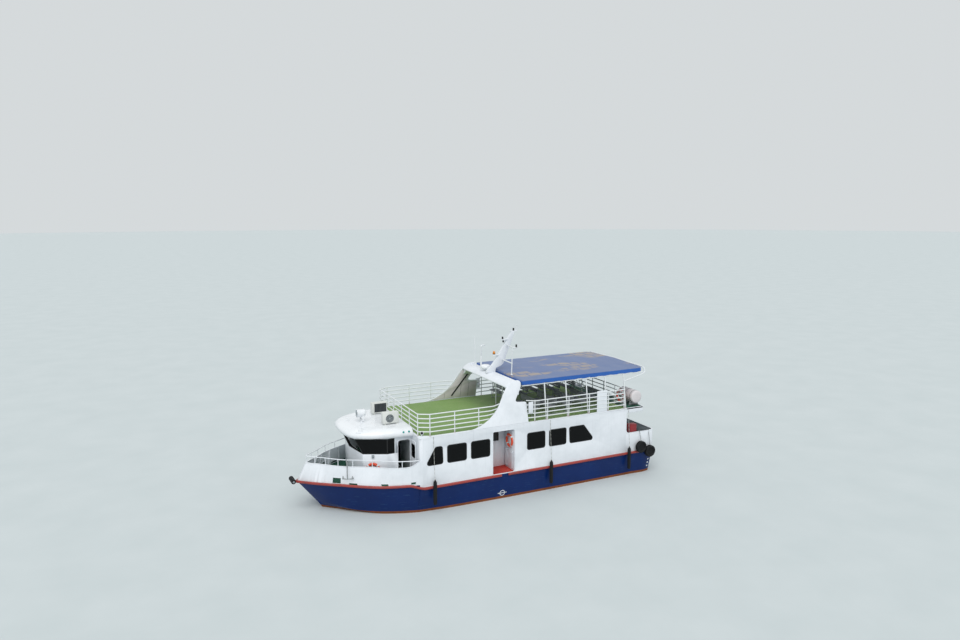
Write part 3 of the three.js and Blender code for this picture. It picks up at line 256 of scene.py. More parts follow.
# The boot top sheds rust and weed in patches, so the antifouling runs from red-brown to orange-brown.
weed = node(tree, "TexNoise", {"Vector": at, "Scale": per(420), "Detail": 7.0, "Roughness": 0.68})
brown = node(tree, "Mix", {0: weed, 6: "#54331f", 7: "#9c5730"}, data_type="RGBA")
node(tree, "Mix", {0: above_boot, 6: brown, 7: blue}, to="Base Color", data_type="RGBA")
node(tree, "MapRange", {"Value": above_boot, "To Min": 0.75, "To Max": 0.26}, to="Roughness")
# The plating has drawn in a little between the welds of its frames. The hollows are drawn 2.4 m apart, which is
# wider than the frames stand, so that they show.
hollows = node(tree, "TexWave", {"Vector": at, "Scale": wave_scale(2370), "Distortion": 0.4, "Detail": 1.0},
               bands_direction="X")
dents = node(tree, "TexNoise", {"Vector": at, "Scale": per(480), "Detail": 2.0})
hungry = node(tree, "Bump", {"Height": hollows, "Distance": 0.006, "Strength": 0.5})
node(tree, "Bump", {"Height": dents, "Distance": 0.008, "Strength": 0.4, "Normal": hungry}, to="Normal")

lines = fair(PORT_LINES, 6)
sheer = [(row[5], row[6]) for row in lines]
bm = bmesh.new()
rings = []
for row in lines:
    kx, kz, cx, cy, cz, sx, sy = row
    for level in ([DECK_AFT] if sx < BREAK - 0.01 else [DECK_AFT, DECK_FORE] if sx < BREAK + 0.01 else [DECK_FORE]):
        side = [Vector((cx, cy, cz)).lerp((sx, sy, level), t) for t in (0, 0.03, 0.35, 0.7, 1)]
        bottom = [Vector((kx, 0.04, kz)).lerp((cx, cy, cz), t) for t in (0, 0.5, 0.97)]
        half = bottom + side
        rings.append([tuple(p) for p in half] + [(p.x, -p.y, p.z) for p in reversed(half)])
skin(bm, rings)
plate(bm, [(-8.2, -0.56), (-7.6, -1.15), (5.2, -1.08), (6.6, -0.64), (2.0, -0.8)], "y", -0.07, 0.07)
SHAFT = {"x": -8.3, "y": 1.05, "z": -0.84, "slope": 0.14}
for side in (1, -1):
    x, y, z = SHAFT["x"] + 0.33, side * SHAFT["y"], SHAFT["z"] + 0.33 * SHAFT["slope"]
    plate(bm, [(x - 0.07, z), (x + 0.07, z), (x + 0.15, z + 0.42), (x - 0.03, z + 0.42)], "y", y - 0.018, y + 0.018)
    bar(bm, (x - 0.11, y, z - 0.0154), (x + 0.11, y, z + 0.0154), 0.068, 28)
piece("hull_plating", bm, hull_finish, "hull", angle=28)


# Stern gear: two cast bronze propellers keyed to steel shafts, with plate rudders behind them. The blades are
# ground and dull, and the rudders carry the hull's antifouling.
def dress(finish, *nodes):
    """Gives CAD pieces that are right as they are the finish of the real ones."""
    for name in nodes:
        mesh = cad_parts[name].data
        mesh.materials.clear()
        mesh.materials.append(finish)


def mottled(name, patches, colours, gloss, grain=None, **fixed):
    """A finish whose colour and gloss wander in patches, over a finer grain. The patches are a noise's millimetres,
    detail and roughness, and the grain is a noise's millimetres and detail, its depth and its strength."""
    finish, tree, at = new_finish(name, **fixed)
    size, detail, rough = patches
    patchy = node(tree, "TexNoise", {"Vector": at, "Scale": per(size), "Detail": detail, "Roughness": rough})
    node(tree, "Mix", {0: patchy, 6: colours[0], 7: colours[1]}, to="Base Color", data_type="RGBA")
    node(tree, "MapRange", {"Value": patchy, "To Min": gloss[0], "To Max": gloss[1]}, to="Roughness")
    if grain:
        size, detail, depth, strength = grain
        fine = node(tree, "TexNoise", {"Vector": at, "Scale": per(size), "Detail": detail})
        node(tree, "Bump", {"Height": fine, "Distance": depth, "Strength": strength}, to="Normal")
    return finish


bronze = mottled("cast_bronze_dull", (45, 5.0, 0.5), ("#8a6a35", "#b48a4a"), (0.28, 0.5), (6, 2.0, 0.0004, 1.0),
                 Metallic=1.0)
dress(bronze, "propeller_port", "propeller_starboard")

# Rudders: fabricated plate on a stock, painted with the antifouling that keeps weed off.
antifouling = mottled("brown_antifouling", (300, 7.0, 0.66), ("#4e2f1d", "#8a4d2b"), (0.6, 0.85),
                      (12, 3.0, 0.001, 1.0))
dress(antifouling, "rudder_port", "rudder_starboard")


# Main deck: steel plate inside the cabin and on the aft deck, rolled with green non-slip paint. Sand in the
# paint breaks the light up, and the walkways have polished to a paler green.
def deck_paint(name, base, worn):
    """Non-slip deck paint with silica sand in it: matt and gritty, and paler where it is walked on."""
    finish, tree, at = new_finish(name)
    trodden = node(tree, "TexNoise", {"Vector": at, "Scale": per(800), "Detail": 6.0, "Roughness": 0.6})
    mask = node(tree, "MapRange", {"Value": trodden, "From Min": 0.45, "From Max": 0.75})
    node(tree, "Mix", {0: mask, 6: base, 7: worn}, to="Base Color", data_type="RGBA")
    node(tree, "MapRange", {"Value": mask, "To Min": 0.85, "To Max": 0.6}, to="Roughness")
    # Sand grains are about 0.5 mm, and are drawn at 9 mm so that they show.
    sand = node(tree, "TexNoise", {"Vector": at, "Scale": per(9), "Detail": 3.0})
    node(tree, "Bump", {"Height": sand, "Distance": 0.0012, "Strength": 0.6}, to="Normal")
    return finish


green_deck = deck_paint("green_non_slip_deck_paint", "#124636", "#2c6a52")
dress(green_deck, "main_deck")


# Engines: two diesel blocks on their bed, closed in below the main deck, in grey engine enamel.
def painted(name, base, worn, rough, streaks, plate_wave=0.004):
    """Marine alkyd enamel rolled on welded plate. The eye gets a satin gloss that waves with the plating, fine
    roller texture, thin grey weeping streaks under edges, and patches where the gloss has chalked."""
    finish, tree, at = new_finish(name, Coat_Weight=0.12, Coat_Roughness=0.12)
    patches = node(tree, "TexNoise", {"Vector": at, "Scale": per(900), "Detail": 5.0, "Roughness": 0.6})
    tall = node(tree, "Mapping", {"Vector": at, "Scale": (9.0, 9.0, 0.55)})
    runs = node(tree, "TexNoise", {"Vector": tall, "Scale": per(700), "Detail": 6.0})
    run_mask = node(tree, "MapRange", {"Value": runs, "From Min": 0.56, "From Max": 0.78, "To Max": streaks})
    patch_mask = node(tree, "MapRange", {"Value": patches, "From Min": 0.42, "From Max": 0.7, "To Max": 0.35})
    weathered = node(tree, "Mix", {0: patch_mask, 6: base, 7: worn}, data_type="RGBA")
    node(tree, "Mix", {0: run_mask, 6: weathered, 7: worn}, to="Base Color", data_type="RGBA")
    node(tree, "MapRange", {"Value": patches, "From Min": 0.3, "From Max": 0.75, "To Min": rough - 0.07,
                            "To Max": rough + 0.16}, to="Roughness")
    # The roller's stipple is about 2 mm on the real boat, and is drawn at 14 mm so that it shows.
    stipple = node(tree, "TexNoise", {"Vector": at, "Scale": per(14), "Detail": 2.0})
    wave = node(tree, "TexNoise", {"Vector": at, "Scale": per(620), "Detail": 1.0})
    fine = node(tree, "Bump", {"Height": stipple, "Distance": 0.0006, "Strength": 0.35})
    node(tree, "Bump", {"Height": wave, "Distance": plate_wave, "Strength": 0.6, "Normal": fine}, to="Normal")
    return finish


grey_enamel = painted("grey_machinery_enamel", "#8f979c", "#6d7478", rough=0.4, streaks=0.3, plate_wave=0.001)
dress(grey_enamel, "engines")


# Rubbing strake: half-round steel welded along the deck edge, broken at the boarding step. Red enamel that has
# rubbed down to darker undercoat on its nose.
def run(bm, path, section):
    """Sweeps a section of (out, up) points along a path that keeps its outer side to the left of travel."""
    path = [Vector(p) for p in path]
    rings = []
    for i, spot in enumerate(path):
        legs = [(b - a).to_2d().normalized() for a, b in zip(path[max(i - 1, 0):i + 1], path[max(i, 1):i + 2])]
        legs = legs or [(path[i] - path[i - 1]).to_2d().normalized()]
        normals = [Vector((-leg.y, leg.x)) for leg in legs]
        mean = sum(normals, Vector((0.0, 0.0))).normalized()
        reach = 1.0 / max(mean.dot(normals[0]), 0.4)
        rings.append([(spot.x + mean.x * out * reach, spot.y + mean.y * out * reach, spot.z + up)
                      for out, up in section])
    skin(bm, rings)


def from_port(half):
    """A path from aft on the port side round the bow, given its port half from aft to forward."""
    return list(half) + [(x, -y, z) for x, y, z in reversed(half) if y > 1e-6]


red, tree, at = new_finish("red_strake_enamel", Coat_Weight=0.08)
flattened = node(tree, "Mapping", {"Vector": at, "Scale": (1.0, 1.0, 5.0)})
rubbed = node(tree, "TexNoise", {"Vector": flattened, "Scale": per(340), "Detail": 7.0, "Roughness": 0.65})
worn_red = node(tree, "MapRange", {"Value": rubbed, "From Min": 0.5, "From Max": 0.72})
node(tree, "Mix", {0: worn_red, 6: "#9c3a34", 7: "#6e342f"}, to="Base Color", data_type="RGBA")
node(tree, "MapRange", {"Value": worn_red, "To Min": 0.36, "To Max": 0.62}, to="Roughness")
dinged = node(tree, "TexNoise", {"Vector": at, "Scale": per(120), "Detail": 3.0})
node(tree, "Bump", {"Height": dinged, "Distance": 0.004, "Strength": 0.6}, to="Normal")

half_round = [(0.0, -0.06), (0.045, -0.06), (0.072, -0.05), (0.086, -0.03), (0.09, 0.0), (0.086, 0.03),
              (0.072, 0.05), (0.045, 0.06), (0.0, 0.06)]


def strake_level(x):
    """The strake's height: level along the side, then up with the raised foredeck."""
    t = min(max((x - 3.75) / 0.85, 0.0), 1.0)
    return 1.29 + 0.22 * t * t * (3 - 2 * t)


bm = bmesh.new()
side_line = [(x, 3.15) for x in (-0.35, 0.6, 1.6, 2.6, 3.3)] + [p for p in sheer if p[0] > 3.55]
run(bm, from_port([(x, y, strake_level(x)) for x, y in side_line]), half_round)
piece("strake_bow", bm, red, "rubbing_strake_fore", bevel=0.006, angle=50)
bm = bmesh.new()
quarter = [(-0.74, 3.15), (-3.0, 3.15), (-6.0, 3.15), (-9.2, 3.15)] + [p for p in sheer if p[0] < -9.7][::-1]
run(bm, [(x, -y, 1.29) for x, y in quarter] + [(x, y, 1.29) for x, y in reversed(quarter)], half_round)
piece("strake_quarters", bm, red, "rubbing_strake_aft", bevel=0.006, angle=50)


# Hung fenders: moulded black rubber logs with an eye at the head, each slung from the deck edge by a taut rope.
def turned(bm, profile, at, axis="z", steps=36):
    """Turns a profile of (radius, height) points about an axis through a point, as on a lathe."""
    at = Vector(at)
    along = Vector({"x": (1, 0, 0), "y": (0, 1, 0), "z": (0, 0, 1)}[axis] if isinstance(axis, str) else axis)
    out = along.orthogonal().normalized()
    corners = [bm.verts.new(at + out * r + along * h) for r, h in profile]
    edges = [bm.edges.new(pair) for pair in zip(corners, corners[1:])]
    bmesh.ops.spin(bm, geom=corners + edges, cent=at, axis=along, angle=math.tau, steps=steps, use_merge=True)


def pipes(bm, paths, radius, corner=0.0, smooth=4):
    """Bent pipe or rod along each path, its corners drawn to a radius, made as a curve and meshed."""
    curve = bpy.data.curves.new("run", "CURVE")
    curve.dimensions = "3D"
    curve.bevel_depth = radius
    curve.bevel_resolution = smooth
    curve.use_fill_caps = True
    for path in paths:
        path = [Vector(p) for p in path]
        spots = [path[0]]
        for a, b, c in zip(path, path[1:], path[2:]):
            into, away = (b - a), (c - b)
            draw = min(corner, into.length * 0.45, away.length * 0.45)
            if draw < 1e-4 or into.angle(away) < 0.02:
                spots.append(b)
                continue
            start, end = b - into.normalized() * draw, b + away.normalized() * draw
            spots += [start.lerp(b, t).lerp(b.lerp(end, t), t) for t in (0, 0.2, 0.4, 0.6, 0.8, 1)]
        spots.append(path[-1])
        spline = curve.splines.new("POLY")
        spline.points.add(len(spots) - 1)
        for point, spot in zip(spline.points, spots):
            point.co = (*spot, 1.0)
    holder = bpy.data.objects.new("run", curve)
    mesh = bpy.data.meshes.new_from_object(holder)
    bm.from_mesh(mesh)
    bpy.data.objects.remove(holder)
    bpy.data.curves.remove(curve)
    bpy.data.meshes.remove(mesh)


def ridged(name, spacing, direction, colours, depth, gloss=None, wander=0.0, **fixed):
    """A finish with even ridges that many millimetres apart: strands of a rope, fins of a coil, flutes of a lens."""
    finish, tree, at = new_finish(name, **fixed)
    ridges = node(tree, "TexWave", {"Vector": at, "Scale": wave_scale(spacing), "Distortion": wander},
                  bands_direction=direction)
    node(tree, "Mix", {0: ridges, 6: colours[0], 7: colours[1]}, to="Base Color", data_type="RGBA")
    if gloss:
        node(tree, "MapRange", {"Value": ridges, "To Min": gloss[0], "To Max": gloss[1]}, to="Roughness")
    node(tree, "Bump", {"Height": ridges, "Distance": depth}, to="Normal")
    return finish


def around(steps):
    """Angles once round a circle, with the first again at the end."""
    return [k * math.tau / steps for k in range(steps + 1)]


rubber = mottled("black_moulded_rubber", (160, 6.0, 0.62), ("#07080a", "#1b1d20"), (0.55, 0.85),
                 (22, 4.0, 0.0015, 0.7), Specular_IOR_Level=0.3)
# Three-strand rope of 18 mm has its strands about 25 mm apart, and they are drawn 200 mm apart along it so that
# they show.
rope = ridged("grey_laid_polyester_rope", 98.7, "DIAGONAL", ("#8d8f8c", "#c9cac4"), 0.002, wander=1.5,
              Roughness=0.85)

log = [(0.0, 0.45), (0.045, 0.45), (0.066, 0.462), (0.082, 0.49), (0.088, 0.54), (0.09, 0.6), (0.09, 1.5),
       (0.088, 1.56), (0.078, 1.61), (0.055, 1.642), (0.034, 1.652), (0.033, 1.7), (0.028, 1.718), (0.0, 1.72)]
for name, stations, node_name in (("fenders_forward", [3.35], "rubbing_strake_fore"),
                                  ("fenders_aft", [-3.2, -8.2], "rubbing_strake_aft")):
    bm, lines_bm = bmesh.new(), bmesh.new()
    for x in stations:
        for side in (1, -1):
            y = side * 3.325
            turned(bm, log, (x, y, 0.0), steps=28)
            for z in (0.62, 0.8, 0.98, 1.16, 1.34, 1.5):
                turned(bm, [(0.0885, z - 0.012), (0.0925, z - 0.006), (0.0925, z + 0.006), (0.0885, z + 0.012)],
                       (x, y, 0.0), steps=28)
            pipes(lines_bm, [[(x, y, 1.7), (x, side * 3.24, 2.78), (x, side * 3.158, 3.81)]], 0.009)
            pipes(lines_bm, [[(x + 0.036 * math.cos(a), y, 1.69 + 0.036 * math.sin(a))
                              for a in around(16)]], 0.008, smooth=2)
    piece(name, bm, rubber, node_name)
    piece(name + "_ropes", lines_bm, rope, node_name)

# Bow bulwark: 6 mm plate on brackets, leaning in from the deck edge round the foredeck, with a flat-bar cap.
# White enamel, stained in thin grey runs below the cap and the freeing ports.
white = painted("white_marine_enamel", "#e4e8ee", "#c3c9cf", rough=0.34, streaks=0.22)
BULWARK = [
    # foot x, foot y, top x, top y, top z
    (4.052, 3.15, 4.052, 3.15, 2.7), (4.28, 3.117, 4.29, 3.108, 2.53), (4.5, 3.07, 4.52, 3.048, 2.435),
    (4.85, 2.975, 4.9, 2.905, 2.4), (5.2, 2.865, 5.3, 2.705, 2.392), (5.55, 2.737, 5.71, 2.43, 2.39),
    (5.89, 2.59, 6.1, 2.14, 2.39), (6.26, 2.372, 6.45, 1.925, 2.39), (6.62, 2.12, 6.76, 1.745, 2.39),
    (6.98, 1.85, 7.03, 1.59, 2.39), (7.33, 1.58, 7.3, 1.42, 2.39), (7.62, 1.368, 7.53, 1.245, 2.39),
    (7.9, 1.17, 7.75, 1.045, 2.39), (8.18, 0.958, 7.96, 0.83, 2.39), (8.45, 0.74, 8.18, 0.605, 2.39),
    (8.67, 0.556, 8.4, 0.42, 2.39), (8.88, 0.37, 8.6, 0.25, 2.39), (9.22, 0.03, 8.77, 0.02, 2.39),
]
bulwark = fair(BULWARK, 3)


def on_bulwark(t, h, out=0.0):
    """A point on the port bulwark: t along its table, h from foot to top, and how far it stands off outboard."""
    i = min(int(t * 3), len(bulwark) - 2)
    row = [a + (b - a) * (t * 3 - i) for a, b in zip(bulwark[i], bulwark[i + 1])]
    ahead = Vector(bulwark[i + 1][:2]) - Vector(bulwark[i][:2])
    off = Vector((-ahead.y, ahead.x)).normalized() * out
    return Vector((row[0] + (row[2] - row[0]) * h + off.x, row[1] + (row[3] - row[1]) * h + off.y,
                   1.502 + (row[4] - 1.502) * h))


def bulwark_strip(bm, start, end, low, high, inner, outer, steps):
    """A strip that follows the port bulwark, between two heights and two distances off it."""
    rings = [[tuple(on_bulwark(start + (end - start) * k / steps, h, out)) for h, out in
              ((low, inner), (high, inner), (high, outer), (low, outer))] for k in range(steps + 1)]
    skin(bm, rings)


def cut_away(bm, tool):
    """Burns openings out of plate: takes the tool's solid away from the piece."""
    parts = []
    for part in (bm, tool):
        bmesh.ops.remove_doubles(part, verts=part.verts, dist=2e-5)
        bmesh.ops.recalc_face_normals(part, faces=part.faces)
        mesh = bpy.data.meshes.new("work")
        part.to_mesh(mesh)
        part.clear()
        parts.append(bpy.data.objects.new("work", mesh))
        scene.collection.objects.link(parts[-1])
    burn = parts[0].modifiers.new("opening", "BOOLEAN")
    burn.operation, burn.solver, burn.object = "DIFFERENCE", "EXACT", parts[1]
    done = parts[0].evaluated_get(bpy.context.evaluated_depsgraph_get())
    mesh = bpy.data.meshes.new_from_object(done)
    bm.from_mesh(mesh)
    for part in parts:
        spare = part.data
        bpy.data.objects.remove(part)
        bpy.data.meshes.remove(spare)
    bpy.data.meshes.remove(mesh)
    tool.free()


PORTS = [(10.5, 11.72, 0.1, 0.38), (8.46, 9.43, 0.05, 0.15), (4.82, 5.72, 0.06, 0.16), (0.9, 1.9, 0.07, 0.18)]
bm, tool = bmesh.new(), bmesh.new()
bulwark_strip(bm, 0.0, 16.98, 0.0, 1.0, -0.042, 0.0, 102)
for start, end, low, high in PORTS:
    bulwark_strip(tool, start, end, low, high, -0.2, 0.2, 8)
cut_away(bm, tool)
for start, end, low, high in PORTS:
    for a, b, c, d in ((start - 0.04, end + 0.04, low - 0.016, low), (start - 0.04, end + 0.04, high, high + 0.016),
                       (start - 0.05, start, low - 0.016, high + 0.016),
                       (end, end + 0.05, low - 0.016, high + 0.016)):
        bulwark_strip(bm, a, b, c, d, -0.05, 0.009, 8)
bulwark_strip(bm, 0.0, 16.98, 0.985, 1.008, -0.052, 0.012, 102)
for t in (2.3, 4.0, 6.6, 8.0, 10.0, 12.4, 14.0):
    bulwark_strip(bm, t - 0.02, t + 0.02, 0.0, 0.98, -0.13, -0.04, 1)
slab(bm, (3.86, 4.062), (3.112, 3.1495), (1.31, 2.695))
both_sides(bm)
slab(bm, (8.735, 8.8), (-0.05, 0.05), (2.36, 2.402))
skin(bm, [[(9.235, 0.035, 1.502), (9.235, -0.035, 1.502), (9.13, -0.04, 1.502), (9.13, 0.04, 1.502)],
          [(8.785, 0.03, 2.395), (8.785, -0.03, 2.395), (8.7, -0.04, 2.395), (8.7, 0.04, 2.395)]])
piece("bulwark_plating", bm, white, "bow_bulwark", bevel=0.003, angle=40, segments=1)

# Flaps of the freeing ports: green plates hung inside the openings, to swing outboard.
bm = bmesh.new()
for start, end, low, high in PORTS:
    bulwark_strip(bm, start + 0.03, end - 0.03, low, high - 0.01, -0.038, -0.03, 8)
both_sides(bm)
piece("freeing_port_flaps", bm, green_deck, "bow_bulwark")

# Bow rail: 42 mm steel pipe on stanchions welded to the bulwark's cap, bent round the stem and painted white.
bm = bmesh.new()
along = [on_bulwark(t / 3, 1.0, -0.026) for t in range(0, 51)]
half = [(p.x, p.y, 2.72) for p in along if p.y > 0.12]
half[0] = (4.086, 3.118, 2.73)
pipes(bm, [from_port(half + [(8.74, 0.1, 2.72), (8.755, 0.0, 2.72)])], 0.022, corner=0.1)
for t in (2.9, 6.0, 8.6, 11.0, 13.3, 15.2):
    foot = on_bulwark(t, 1.0, -0.026)
    for side in (1, -1):
        pipes(bm, [[(foot.x, side * foot.y, 2.385 + (0.03 if t < 4 else 0)), (foot.x, side * foot.y, 2.72)]], 0.018)
        turned(bm, [(0.0, 0.0), (0.036, 0.0), (0.036, 0.008), (0.019, 0.012)],
               (foot.x, side * foot.y, foot.z + 0.002), steps=20)
pipes(bm, [[(8.745, 0.0, 2.395), (8.755, 0.0, 2.72)]], 0.018)
piece("bow_rail_pipes", bm, white, "bow_rail")

# Bow fender: a rubber roller across the stem head on a steel arm, with a cap at each end.
bm = bmesh.new()
roller = [(0.0, -0.33), (0.08, -0.33), (0.105, -0.318), (0.115, -0.29), (0.115, -0.2), (0.108, -0.19), (0.108, -0.16),
          (0.115, -0.15), (0.115, -0.01), (0.108, 0.0)]
turned(bm, roller + [(r, -h) for r, h in roller[-2::-1]], (9.4665, 0.0, 1.6), axis="y", steps=40)
piece("bow_fender_roller", bm, rubber, "bow_fender")
bm = bmesh.new()
plate(bm, [(9.322, 1.48), (9.5, 1.515), (9.5, 1.565), (9.322, 1.56)], "y", -0.038, 0.038)
turned(bm, [(0.0, -0.345), (0.05, -0.345), (0.05, 0.345), (0.0, 0.345)], (9.47, 0.0, 1.6), axis="y", steps=24)
piece("bow_fender_arm", bm, grey_enamel, "bow_fender", bevel=0.004)

# Foredeck: green non-slip paint on the raised plating inside the bulwark.
bm = bmesh.new()
ring = [(b[0], b[1] - 0.055) for b in bulwark if b[1] > 0.08 and b[0] > 4.06]
outline = [(4.06, 3.08)] + ring + [(9.1, 0.0)] + [(x, -y) for x, y in ring[::-1]] + [(4.06, -3.08)]
plate(bm, outline, "z", 1.4985, 1.5045)
piece("foredeck_paint", bm, green_deck, "hull")

# Hatch to the forepeak: a plate coaming welded to the foredeck, with lugs that take the lid's hinge pins. The
# pressed lid is green like the deck.
bm = bmesh.new()
for x, y in (((6.96, 7.0), (-0.34, 0.34)), ((7.56, 7.6), (-0.34, 0.34)), ((7.0, 7.56), (-0.34, -0.3)),
             ((7.0, 7.56), (0.3, 0.34))):
    slab(bm, x, y, (1.5, 1.6397))
for side in (1, -1):
    for end in (1, -1):
        y = side * 0.2 + end * 0.062
        plate(bm, [(6.896, 1.5), (6.944, 1.5), (6.944, 1.68), (6.93, 1.689), (6.91, 1.689), (6.896, 1.68)],
              "y", y - 0.008, y + 0.008)
piece("hatch_coaming", bm, green_deck, "hull", bevel=0.003)
dress(green_deck, "foredeck_hatch")

# Windlass: a cast gearbox on a base plate, with a warping drum at each end of its shaft. Grey-green enamel.
bm = bmesh.new()
slab(bm, (7.9, 8.25), (-0.18, 0.18), (1.502, 1.53))
plate(bm, [(7.95, 1.53), (8.2, 1.53), (8.2, 1.78), (8.165, 1.865), (8.1, 1.9), (8.02, 1.9), (7.97, 1.86),
           (7.95, 1.8)], "y", -0.11, 0.11)
drum = [(0.0, -0.34), (0.14, -0.34), (0.14, -0.322), (0.108, -0.312), (0.092, -0.27), (0.088, -0.22), (0.095, -0.17),
        (0.11, -0.155), (0.11, -0.14), (0.045, -0.135)]
turned(bm, drum + [(r, -h) for r, h in drum[::-1]], (8.075, 0.0, 1.8), axis="y", steps=32)
for x in (7.925, 8.225):
    for y in (-0.14, 0.14):
        turned(bm, [(0.0, 0.02), (0.014, 0.02), (0.014, 0.0)], (x, y, 1.53), steps=6)
pipes(bm, [[(8.0, 0.125, 1.86), (7.93, 0.16, 1.98), (7.9, 0.17, 2.06)]], 0.009)
piece("windlass_body", bm, green_deck, "windlass", bevel=0.006)

# Anchor: a galvanised plough on a shank, hung over the port bulwark from the rail with its stock outboard.
galvanised, tree, at = new_finish("hot_dip_galvanised_steel", Metallic=0.75)
spangle = node(tree, "TexVoronoi", {"Vector": at, "Scale": per(28)})
rust = node(tree, "TexNoise", {"Vector": at, "Scale": per(130), "Detail": 7.0, "Roughness": 0.7})
rust_mask = node(tree, "MapRange", {"Value": rust, "From Min": 0.56, "From Max": 0.7})
zinc = node(tree, "Mix", {0: spangle, 6: "#8c8f90", 7: "#b4b8ba"}, data_type="RGBA")
node(tree, "Mix", {0: rust_mask, 6: zinc, 7: "#6b4630"}, to="Base Color", data_type="RGBA")
node(tree, "MapRange", {"Value": spangle, "To Min": 0.4, "To Max": 0.6}, to="Roughness")
node(tree, "Bump", {"Height": rust, "Distance": 0.002}, to="Normal")
bm = bmesh.new()
crown, head = Vector((7.235, 1.8, 1.86)), Vector((7.195, 1.655, 2.7))
pipes(bm, [[tuple(head), tuple(crown)]], 0.026)
turned(bm, [(0.02, -0.03), (0.044, -0.02), (0.05, 0.0), (0.044, 0.02), (0.02, 0.03)], head, axis="y", steps=20)
pipes(bm, [[(7.0, 1.925, 1.88), (7.45, 1.68, 1.88)]], 0.022)
for end in (1, -1):
    root = Vector((7.225 + end * 0.03, 1.802 - end * 0.02, 1.9))
    tip = Vector((7.225 + end * 0.2, 1.802 - end * 0.11, 2.04))
    skin(bm, [[(root.x - 0.05, root.y + 0.03, 1.86), (root.x + 0.05, root.y - 0.02, 1.86),
               (root.x + 0.05, root.y - 0.005, 1.9), (root.x - 0.05, root.y + 0.045, 1.9)],
              [(tip.x - 0.06, tip.y + 0.03, 1.88), (tip.x + 0.03, tip.y - 0.02, 1.9),
               (tip.x + 0.03, tip.y - 0.005, 1.93), (tip.x - 0.06, tip.y + 0.045, 1.92)],
              [(tip.x - 0.02, tip.y + 0.005, 2.03), (tip.x + 0.01, tip.y - 0.01, 2.03),
               (tip.x + 0.01, tip.y, 2.04), (tip.x - 0.02, tip.y + 0.015, 2.04)]])
pipes(bm, [[(7.195, 1.44, 2.72), (7.195, 1.5, 2.752), (7.195, 1.6, 2.74), (7.195, 1.66, 2.7)]], 0.012, corner=0.03)
piece("anchor_plough", bm, galvanised, "anchor", bevel=0.003)


# Saloon sides: welded plate with the windows and the boarding opening cut in it, white enamel outside and in.
# They stand on the deck edge, and a flat bar along the top carries the upper deck.
def rounded(corners, radius, steps=6):
    """A flat outline with each corner drawn to a radius."""
    out = []
    for i, corner in enumerate(corners):
        corner, before, after = Vector(corner), Vector(corners[i - 1]), Vector(corners[(i + 1) % len(corners)])
        into, away = (before - corner).normalized(), (after - corner).normalized()
        half = into.angle(away) / 2
        reach = radius / math.tan(half)
        centre = corner + (into + away).normalized() * (radius / math.sin(half))
        start, end = corner + into * reach - centre, corner + away * reach - centre
        turn = math.atan2(start.x * end.y - start.y * end.x, start.dot(end))
        out += [tuple(centre + Matrix.Rotation(turn * k / steps, 2) @ start) for k in range(steps + 1)]
    return out


def widened(corners, by):
    """A convex outline with every edge moved outward by a distance."""
    area = sum(a[0] * b[1] - b[0] * a[1] for a, b in zip(corners, corners[1:] + corners[:1]))
    by = by if area > 0 else -by
    out = []
    for i, corner in enumerate(corners):
        before, here, after = Vector(corners[i - 1]), Vector(corner), Vector(corners[(i + 1) % len(corners)])
        a, b = (here - before).normalized(), (after - here).normalized()
        na, nb = Vector((a.y, -a.x)), Vector((b.y, -b.x))
        out.append(tuple(here + (na + nb) * (by / (1 + na.dot(nb)))))
    return out


def take_in(bm, other):
    """Adds another piece's mesh to this one."""
    mesh = bpy.data.meshes.new("work")
    other.to_mesh(mesh)
    other.free()
    bm.from_mesh(mesh)
    bpy.data.meshes.remove(mesh)


def pierced(bm, outline, holes, axis, near, far):
    """Plate with openings cut in it, between two levels along an axis."""
    sheet = bmesh.new()
    edges = []
    for loop in [outline, *holes]:
        corners = [sheet.verts.new(p) for p in on_plane(loop, axis, near)]
        edges += [sheet.edges.new((corners[i - 1], corners[i])) for i in range(len(corners))]
    bmesh.ops.triangle_fill(sheet, use_beauty=True, edges=edges)
    thicken(sheet, list(sheet.faces), axis, far - near)
    take_in(bm, sheet)


def framed(bm, opening, outer, inner, axis, near, far):
    """A frame round an opening. Its outer and inner edges are each given as how far outside the opening they are,
    and the radius of their corners."""
    out_line, in_line = [rounded(widened(opening, by), radius) for by, radius in (outer, inner)]
    pierced(bm, out_line, [in_line], axis, near, far)


WINDOWS = [
    # lower aft, lower fore, upper fore and upper aft corners, x at the sill and at the head
    (2.85, 3.75, 3.23, 2.88), (1.59, 2.61, 2.61, 1.59), (0.3, 1.33, 1.33, 0.3), (-2.9, -1.85, -1.85, -2.9),
    (-4.19, -3.16, -3.16, -4.19), (-5.96, -4.43, -4.38, -5.29),
]
SILL, HEAD, ROUND = 2.4, 3.27, 0.11
RECESS = {"fore": 0.12, "aft": -1.1, "floor": 1.38, "top": 3.59, "back": 2.06}
openings = [[(a, SILL), (b, SILL), (c, HEAD), (d, HEAD)] for a, b, c, d in WINDOWS]
boarding = [(RECESS["aft"], RECESS["floor"]), (RECESS["fore"], RECESS["floor"]),
            (RECESS["fore"], RECESS["top"]), (RECESS["aft"], RECESS["top"])]
SIDES = (("port", 1), ("starboard", -1))
side_outline = [(-8.1, 1.3005), (3.89, 1.3005), (3.89, 3.769), (-8.1, 3.769)]
for name, side in SIDES:
    bm = bmesh.new()
    pierced(bm, side_outline, [rounded(o, ROUND) for o in openings] + [rounded(boarding, 0.07)],
            "y", side * 3.09, side * 3.15)
    for level in (3.735, 1.372):
        slab(bm, (-8.09, 3.88), (side * 3.148, side * 3.154), (level - 0.02, level + 0.02))
    framed(bm, boarding, (0.035, 0.1), (0.0, 0.07), "y", side * 3.148, side * 3.156)
    piece("saloon_side_" + name, bm, white, "cabin_side_" + name, bevel=0.004, angle=50)

